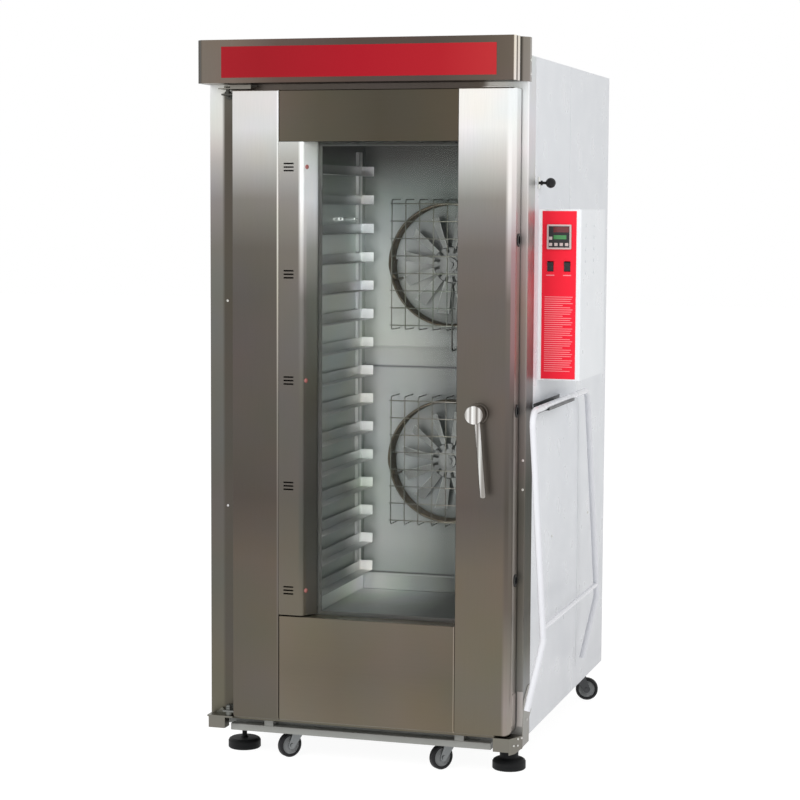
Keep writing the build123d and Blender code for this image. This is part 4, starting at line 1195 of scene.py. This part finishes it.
@dataclass
class Cabinet:
    """Outer sheets, hood, brackets, feet and the frame underneath."""

    finishes: Finishes
    # Half section of a socket head: share of its radius and of its height.
    head_profile: tuple[tuple[float, float], ...] = (
        (0.0, 0.0),
        (1.0, 0.0),
        (1.0, 0.35),
        (0.86, 0.74),
        (0.46, 1.0),
        (0.4, 0.95),
        (0.34, 0.5),
        (0.0, 0.45),
    )
    head_sides: int = 16

    def build(self) -> None:
        """Dress the cabinet."""
        get = self.finishes.get
        sheets = ("side_panel_left", "side_panel_right", "back_panel", "roof_panel")
        dress(get("powder_coat_white"), *sheets)
        dress(get("stainless_satin_frame"), "front_frame")
        dress(get("stainless_satin_hood"), "hood")
        dress(get("vinyl_film_hood"), "hood_stripe")
        dress(get("stainless_folded_corner"), "corner_bracket")
        dress(get("stainless_cut_bracket"), "hinge_bracket_lower", "hinge_bracket_upper")
        dress(get("stainless_turned_bright"), "cabinet_screws", "flue_stub", "knob_plate")
        dress(get("enamel_grey_rail"), "base_frame")
        dress(get("rubber_moulded_foot"), "foot_left", "foot_right")
        dress(get("zinc_plated_dark"), "side_cradle")
        dress(get("phenolic_polished_knob"), "damper_knob")
        dress(get("powder_coat_tube"), "side_frame")
        self.screw_heads("cabinet_screws")

    def screw_heads(self, name: str) -> None:
        """Turn every screw of a node into a domed head with a round socket.

        Args:
            name: Node whose solids are the screws.
        """
        low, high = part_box("back_panel")
        middle = (low + high) / 2
        middle.y = (place(0, 0, 0).y + high.y) / 2
        points, facings, sizes = [], [], []
        for box_low, box_high in solid_boxes(name):
            size = box_high - box_low
            axis = min(range(3), key=lambda i: size[i])
            side = 1.0 if (box_low[axis] + box_high[axis]) / 2 > middle[axis] else -1.0
            facing = Vector((0.0, 0.0, 0.0))
            facing[axis] = side
            point = (box_low + box_high) / 2
            point[axis] = box_low[axis] if side > 0 else box_high[axis]
            radius = max(size) / 2
            points.append(tuple(point))
            facings.extend(facing)
            sizes.extend((radius, radius, size[axis]))
        seed = bpy.data.meshes.new("screw_points")
        seed.from_pydata(points, [], [])
        for label, values in (("facing", facings), ("size", sizes)):
            seed.attributes.new(label, "FLOAT_VECTOR", "POINT").data.foreach_set("vector", values)
        shape = bmesh.new()
        add_lathe(shape, list(self.head_profile), Vector(), Vector((0, 0, 1)), self.head_sides)
        bmesh.ops.recalc_face_normals(shape, faces=shape.faces[:])
        data = bpy.data.meshes.new("screw_head")
        shape.to_mesh(data)
        shape.free()
        head = new_object("screw_head", data)
        values = {"Head": head, "Finish": self.finishes.get("stainless_turned_bright")}
        heads = grown_piece("screw_heads", seed, fastener_tree(), values, "cabinet")
        bpy.data.objects.remove(head)
        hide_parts(name)


@dataclass
class Chamber:
    """Baking chamber: liners, ladders, fans, guards and heaters."""

    finishes: Finishes
    fan_heights: tuple[float, float] = (1476.0, 816.0)
    fan_hub: float = 62.0
    guard_columns: int = 9
    guard_rows: int = 8
    guard_pitch_x: float = 48.0
    guard_pitch_z: float = 58.0
    guard_overhang_x: float = 6.0
    guard_overhang_z: float = 14.0
    guard_front: float = 901.0
    guard_back: float = 997.7
    wire_radius: float = 1.9
    wire_lap: float = 1.5
    wire_bend: float = 9.0

    def build(self) -> None:
        """Dress the chamber and wire its guards."""
        get = self.finishes.get
        dress(get("stainless_mill_rear_wall"), "liner_back", "liner_top")
        dress(get("stainless_mill_pan"), "floor_pan")
        dress(get("stainless_mill_side_wall"), "liner_left", "liner_right")
        dress(get("stainless_pressed_rails"), "tray_ladder_left", "tray_ladder_right")
        dress(get("oxidised_heater_tube"), "ring_element_upper", "ring_element_lower")
        dress(get("enamel_motor"), "fan_motor_upper", "fan_motor_lower")
        for label in ("upper", "lower"):
            low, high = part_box(f"fan_wheel_{label}")
            middle = (low + high) / 2
            # Cut and bent sheet: pale blades, matt from baking, on a dark cast hub.
            blades = Coating(
                f"stainless_cut_blades_{label}",
                "#c3c6c3", "#989b98", 9.0, 0.36, 0.4, bump=0.02,
                hub=(middle.x, middle.y, middle.z, self.fan_hub * MM), hub_colour="#4b4d4b",
            )
            dress(blades.build(), f"fan_wheel_{label}")
        dress(get("stainless_scaled_tube"), "steam_tube")
        dress(get("stainless_turned_bright"), "probe")
        tree = repeated_bar_tree()
        for place_name, height in zip(("upper", "lower"), self.fan_heights):
            self.wire_guard(tree, place_name, height)

    def wires(
        self,
        tree: bpy.types.GeometryNodeTree, name: str, points: list[Vector], count: int, step: Spot,
    ) -> bpy.types.Object:
        """Build one row of like wires.

        Args:
            tree: Geometry tree that repeats a bent bar.
            name: Name of the piece.
            points: Run of the first wire.
            count: How many wires there are.
            step: From each wire to the next.

        Returns:
            The row as one piece.
        """
        values = {
            "Count": count, "Step": tuple(value * MM for value in step),
            "Bar radius": self.wire_radius * MM, "Bend radius": self.wire_bend * MM,
            "Finish": self.finishes.get("stainless_drawn_wire"),
        }
        return grown_piece(name, path_mesh(name, points), tree, values, "cabinet")

    def wire_guard(self, tree: bpy.types.GeometryNodeTree, place_name: str, height: float) -> None:
        """Build one guard of round welded wires.

        Args:
            tree: Geometry tree that repeats a bent bar.
            place_name: Which fan the guard covers.
            height: Height of the fan's middle.
        """
        half_x = self.guard_pitch_x * (self.guard_columns - 1) / 2
        half_net = self.guard_pitch_z * (self.guard_rows - 1) / 2
        half_z = half_net + self.guard_overhang_z
        front, back = self.guard_front, self.guard_back
        run = ((back, -half_z), (front, -half_z), (front, half_z), (back, half_z))
        loop = [place(-half_x, y, height + z) for y, z in run]
        step = (self.guard_pitch_x, 0.0, 0.0)
        uprights = self.wires(tree, f"guard_{place_name}_uprights", loop, self.guard_columns, step)
        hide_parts(f"fan_guard_{place_name}")
        reach = half_x + self.guard_overhang_x
        row = [place(x, front - self.wire_lap, height - half_net) for x in (-reach, reach)]
        step = (0.0, 0.0, self.guard_pitch_z)
        rows = self.wires(tree, f"guard_{place_name}_rows", row, self.guard_rows, step)


@dataclass
class Door:
    """Glazed door with its lamp cover, seal and handle."""

    finishes: Finishes
    # Height of each plug, and how far along the cover's slope it sits.
    plugs: tuple[tuple[float, float], ...] = ((1783.0, 17.5), (1159.0, 14.8), (535.0, 15.5))
    slope_start: tuple[float, float] = (-172.5, -65.0)
    slope_end: tuple[float, float] = (-143.3, -12.0)
    # Half section of a plug: radius and rise, sunk a little into the sheet.
    plug_profile: tuple[tuple[float, float], ...] = (
        (0, -0.2),
        (6.6, -0.2),
        (6.6, 1.0),
        (4.4, 2.2),
        (0, 2.6),
    )
    plug_sides: int = 20
    plug_lift: float = 0.2

    def build(self) -> None:
        """Dress the door and add its lamp plugs."""
        get = self.finishes.get
        dress(get("stainless_satin_door"), "door_skin_left", "door_skin_right")
        dress(get("stainless_satin_upper_panel"), "door_panel_top")
        dress(get("stainless_satin_lower_panel"), "door_panel_bottom")
        dress(get("stainless_satin_inner_door"), "door_inner_frame")
        dress(get("stainless_satin_lamp_cover"), "lamp_housing")
        dress(get("float_glass"), "door_glass_outer", "door_glass_inner")
        dress(get("silicone_extruded_seal"), "door_gasket")
        dress(get("abs_moulded_black"), "door_catches")
        dress(get("stainless_polished_grip"), "door_handle")
        self.lamp_plugs()

    def lamp_plugs(self) -> None:
        """Build the small red plugs on the sloping side of the lamp cover."""
        mesh = bmesh.new()
        start, end = place(*self.slope_start, 0), place(*self.slope_end, 0)
        along = (end - start).normalized()
        # The slope runs back and to the right, so this points out of it, to the right.
        outward = Vector((along.y, -along.x, 0))
        profile = [(radius * MM, rise * MM) for radius, rise in self.plug_profile]
        for height, inward in self.plugs:
            spot = start + along * (inward * MM)
            spot = Vector((spot.x, spot.y, height * MM)) + outward * (self.plug_lift * MM)
            add_lathe(mesh, profile, spot, outward, self.plug_sides)
        mesh_piece("lamp_plugs", mesh, "door", self.finishes.get("silicone_moulded_plug"))


@dataclass
class ControlBox:
    """Side control housing with its controller face and two rockers."""

    finishes: Finishes
    middle_x: float = 547.0
    middle_z: float = 1584.0
    face_y: float = 137.2
    face_half: float = 31.0
    face_thick: float = 0.6
    display_thick: float = 0.6
    keys: tuple[tuple[float, float], ...] = (
        (522, 1580),
        (522, 1562),
        (538, 1562),
        (554, 1562),
        (570, 1562),
    )
    key_half: tuple[float, float] = (5.0, 4.5)
    key_thick: float = 1.2
    rules_top: float = 1408.0
    rules_count: int = 36
    rules_pitch: float = 6.2
    rule_height: float = 2.1
    rule_margin: float = 9.0
    print_thick: float = 0.25
    label_half: float = 12.0
    label_height: float = 3.0
    label_drop: float = 14.0

    def build(self) -> None:
        """Dress the control box, and build the controller's face and the printed rules."""
        get = self.finishes.get
        dress(get("powder_coat_box"), "control_box")
        dress(get("polyester_film_panel"), "fascia")
        dress(get("abs_moulded_rim"), "controller")
        dress(get("abs_moulded_black"), "switch_left", "switch_right")
        self.face()
        self.rules()

    def face(self) -> None:
        """Build the dark face, both display windows and the keys of the controller."""
        get = self.finishes.get
        half, top = self.face_half, self.face_y - self.face_thick
        low = place(self.middle_x - half, top, self.middle_z - half)
        high = place(self.middle_x + half, self.face_y, self.middle_z + half)
        mesh = bmesh.new()
        add_box(mesh, low, high, 0.3 * MM)
        mesh_piece("controller_face", mesh, "cabinet", get("abs_moulded_black"))
        for label, x0, x1, z0, z1, finish in (
            ("display_upper", 530, 576, 1597, 1613, "acrylic_tinted_red"),
            ("display_lower", 531, 569, 1577, 1589, "acrylic_tinted_green"),
        ):
            mesh = bmesh.new()
            front = top - self.display_thick
            add_box(mesh, place(x0, front, z0), place(x1, top, z1), 0.4 * MM)
            mesh_piece(label, mesh, "cabinet", get(finish))
        mesh = bmesh.new()
        wide, tall = self.key_half
        for x, z in self.keys:
            low = place(x - wide, top - self.key_thick, z - tall)
            add_box(mesh, low, place(x + wide, top, z + tall), 0.8 * MM)
        mesh_piece("controller_keys", mesh, "cabinet", get("abs_moulded_rim"))

    def rules(self) -> None:
        """Print the plain rules that fill the lower half of the red panel."""
        low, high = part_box("fascia")
        front, face = low.y - self.print_thick * MM, low.y
        left, right = low.x + self.rule_margin * MM, high.x - self.rule_margin * MM
        mesh = bmesh.new()
        for line in range(self.rules_count):
            z = self.rules_top * MM - line * self.rules_pitch * MM
            # Every fifth rule ends a block and is short. The others end unevenly.
            end = right - (0.35 if line % 5 == 4 else 0.04 * (line % 3)) * (right - left)
            corner = Vector((end, face, z + self.rule_height * MM))
            add_box(mesh, Vector((left, front, z)), corner)
        for label in ("left", "right"):
            rocker_low, rocker_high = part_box(f"switch_{label}")
            x = (rocker_low.x + rocker_high.x) / 2
            z = rocker_low.z - self.label_drop * MM
            half = self.label_half * MM
            corner = Vector((x + half, face, z + self.label_height * MM))
            add_box(mesh, Vector((x - half, front, z)), corner)
        mesh_piece("fascia_rules", mesh, "cabinet", self.finishes.get("screen_print_pale"))


@dataclass
class Castors:
    """Four swivel castors."""

    finishes: Finishes
    places: tuple[str, ...] = ("front_left", "front_right", "rear_left", "rear_right")
    hub_reach: float = 28.5

    def build(self) -> None:
        """Dress the forks and wheels."""
        get = self.finishes.get
        for label in self.places:
            # Front castors take the lit copy of the plating, the rest the painted-shade copy.
            plating = "bright" if label.startswith("front") else "dark"
            dress(get(f"zinc_plated_{plating}"), f"castor_fork_{label}")
            low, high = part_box(f"castor_wheel_{label}")
            middle = (low + high) / 2
            # Moulded rubber tyre: near black and dusty, on a paler moulded hub.
            tyre = Coating(
                f"rubber_moulded_tyre_{label}",
                "#1b1b1d", "#242426", 1.0, 0.55, bump=0.1, shine=0.3,
                hub=(middle.x, middle.y, middle.z, self.hub_reach * MM),
            )
            dress(tyre.build(), f"castor_wheel_{label}")


def seen_rays(tree: bpy.types.NodeTree) -> bpy.types.NodeSocket:
    """Tell what the camera, metal and glass show from what only lights the object.

    Args:
        tree: Node tree of the floor or the world.

    Returns:
        A socket that is one for camera, glossy and transmission rays.
    """
    rays = add_node(tree, "ShaderNodeLightPath").outputs
    seen = rays["Is Camera Ray"]
    for label in ("Is Glossy Ray", "Is Transmission Ray"):
        either = {0: seen, 1: rays[label]}
        seen = add_node(tree, "ShaderNodeMath", {"operation": "MAXIMUM"}, either).outputs[0]
    return seen


@dataclass
class Studio:
    """Pale floor, soft lamps and the camera."""

    camera_spot: Spot = (1900.7, -6016.9, 1669.3)
    heading: float = 16.593
    pitch: float = -5.129
    roll: float = 0.3085
    lens: float = 96.96
    sensor: float = 36.0
    floor_half: float = 30.0
    floor_share: float = 0.8
    floor_glow: float = 1.17
    world_light: float = 0.6

    def build(self) -> None:
        """Set up the view, the floor, the world and the lamps."""
        bpy.context.scene.view_settings.view_transform = "Standard"
        self.camera()
        self.floor()
        self.world()
        wide, side = (2.6, 2.6), (2.4, 2.4)
        self.lamp("key", (-1800, -5200, 3900), (0, 300, 1000), wide, 200.0, False)
        self.lamp("fill", (3800, -1800, 3000), (400, 600, 1000), side, 50.0, False)
        # The lamps in the door's cover wash the chamber with light from just behind the glass.
        self.lamp("chamber_wash", (-130, 30, 1050), (-130, 900, 1050), (0.36, 1.4), 14.0)

    def camera(self) -> None:
        """Put the camera where the photograph was taken from."""
        data = bpy.data.cameras.new("camera")
        data.lens = self.lens
        data.sensor_width = self.sensor
        data.clip_start = 0.1
        data.clip_end = 100.0
        camera = new_object("camera", data)
        yaw, pitch, roll = (math.radians(v) for v in (self.heading, self.pitch, self.roll))
        forward = Vector(
            (-math.sin(yaw) * math.cos(pitch), math.cos(yaw) * math.cos(pitch), math.sin(pitch))
        )
        level = Vector((math.cos(yaw), math.sin(yaw), 0.0))
        upright = level.cross(forward)
        right = math.cos(roll) * level + math.sin(roll) * upright
        up = -math.sin(roll) * level + math.cos(roll) * upright
        turn = Matrix((right, up, -forward)).transposed().to_4x4()
        camera.matrix_world = Matrix.Translation(place(*self.camera_spot)) @ turn
        bpy.context.scene.camera = camera

    def floor(self) -> None:
        """Lay a pale floor that shows white and keeps a soft shadow."""
        mesh = bmesh.new()
        bmesh.ops.create_grid(mesh, x_segments=1, y_segments=1, size=self.floor_half)
        data = bpy.data.meshes.new("floor")
        mesh.to_mesh(data)
        mesh.free()
        floor = new_object("floor", data)
        # Matt painted board: white to the eye, with only the shadow drawn on it.
        material, tree = fresh_material("matt_painted_board")
        share = add_node(
            tree, "ShaderNodeMath", {"operation": "MULTIPLY", 1: self.floor_share},
            {0: seen_rays(tree)},
        )
        matt = add_node(tree, "ShaderNodeBsdfDiffuse", {"Color": (0.9, 0.9, 0.9, 1.0)})
        glow = add_node(
            tree, "ShaderNodeEmission", {"Color": (1, 1, 1, 1), "Strength": self.floor_glow}
        )
        both = add_node(
            tree, "ShaderNodeMixShader", {},
            {0: share.outputs[0], 1: matt.outputs[0], 2: glow.outputs[0]},
        )
        add_node(tree, "ShaderNodeOutputMaterial", {}, {"Surface": both.outputs[0]})
        data.materials.append(material)

    def world(self) -> None:
        """Surround the scene with white that lights it gently."""
        world = bpy.data.worlds.new("studio")
        bpy.context.scene.world = world
        world.use_nodes = True
        tree = world.node_tree
        tree.nodes.clear()
        strength = add_node(
            tree, "ShaderNodeMapRange", {"To Min": self.world_light, "To Max": 1.0},
            {"Value": seen_rays(tree)},
        )
        glow = add_node(
            tree, "ShaderNodeBackground", {"Color": (1, 1, 1, 1)},
            {"Strength": strength.outputs["Result"]},
        )
        add_node(tree, "ShaderNodeOutputWorld", {}, {"Surface": glow.outputs[0]})

    def lamp(
        self,
        name: str, spot: Spot, aim: Spot, size: tuple[float, float], power: float,
        mirrored: bool = True,
    ) -> None:
        """Hang one soft oblong lamp.

        Args:
            name: Name of the lamp.
            spot: Where it hangs.
            aim: Where it points.
            size: Width and height of its face, in metres.
            power: Power in watts.
            mirrored: Whether shiny surfaces show it.
        """
        data = bpy.data.lights.new(name, "AREA")
        data.shape = "RECTANGLE"
        data.size, data.size_y = size
        data.energy = power
        lamp = new_object(name, data)
        here, there = place(*spot), place(*aim)
        lamp.location = here
        lamp.rotation_euler = (there - here).to_track_quat("-Z", "Y").to_euler()
        lamp.visible_camera = False
        lamp.visible_glossy = mirrored
        lamp.visible_transmission = False


def main() -> None:
    """Build every sub-assembly in order, then the studio."""
    logging.basicConfig(level=logging.INFO, format="%(message)s")
    finishes = Finishes()
    finishes.build()
    for kind in (Cabinet, Chamber, Door, ControlBox, Castors):
        log.info("building %s", kind.__name__)
        kind(finishes).build()
    Studio().build()


if __name__ == "__main__":
    main()
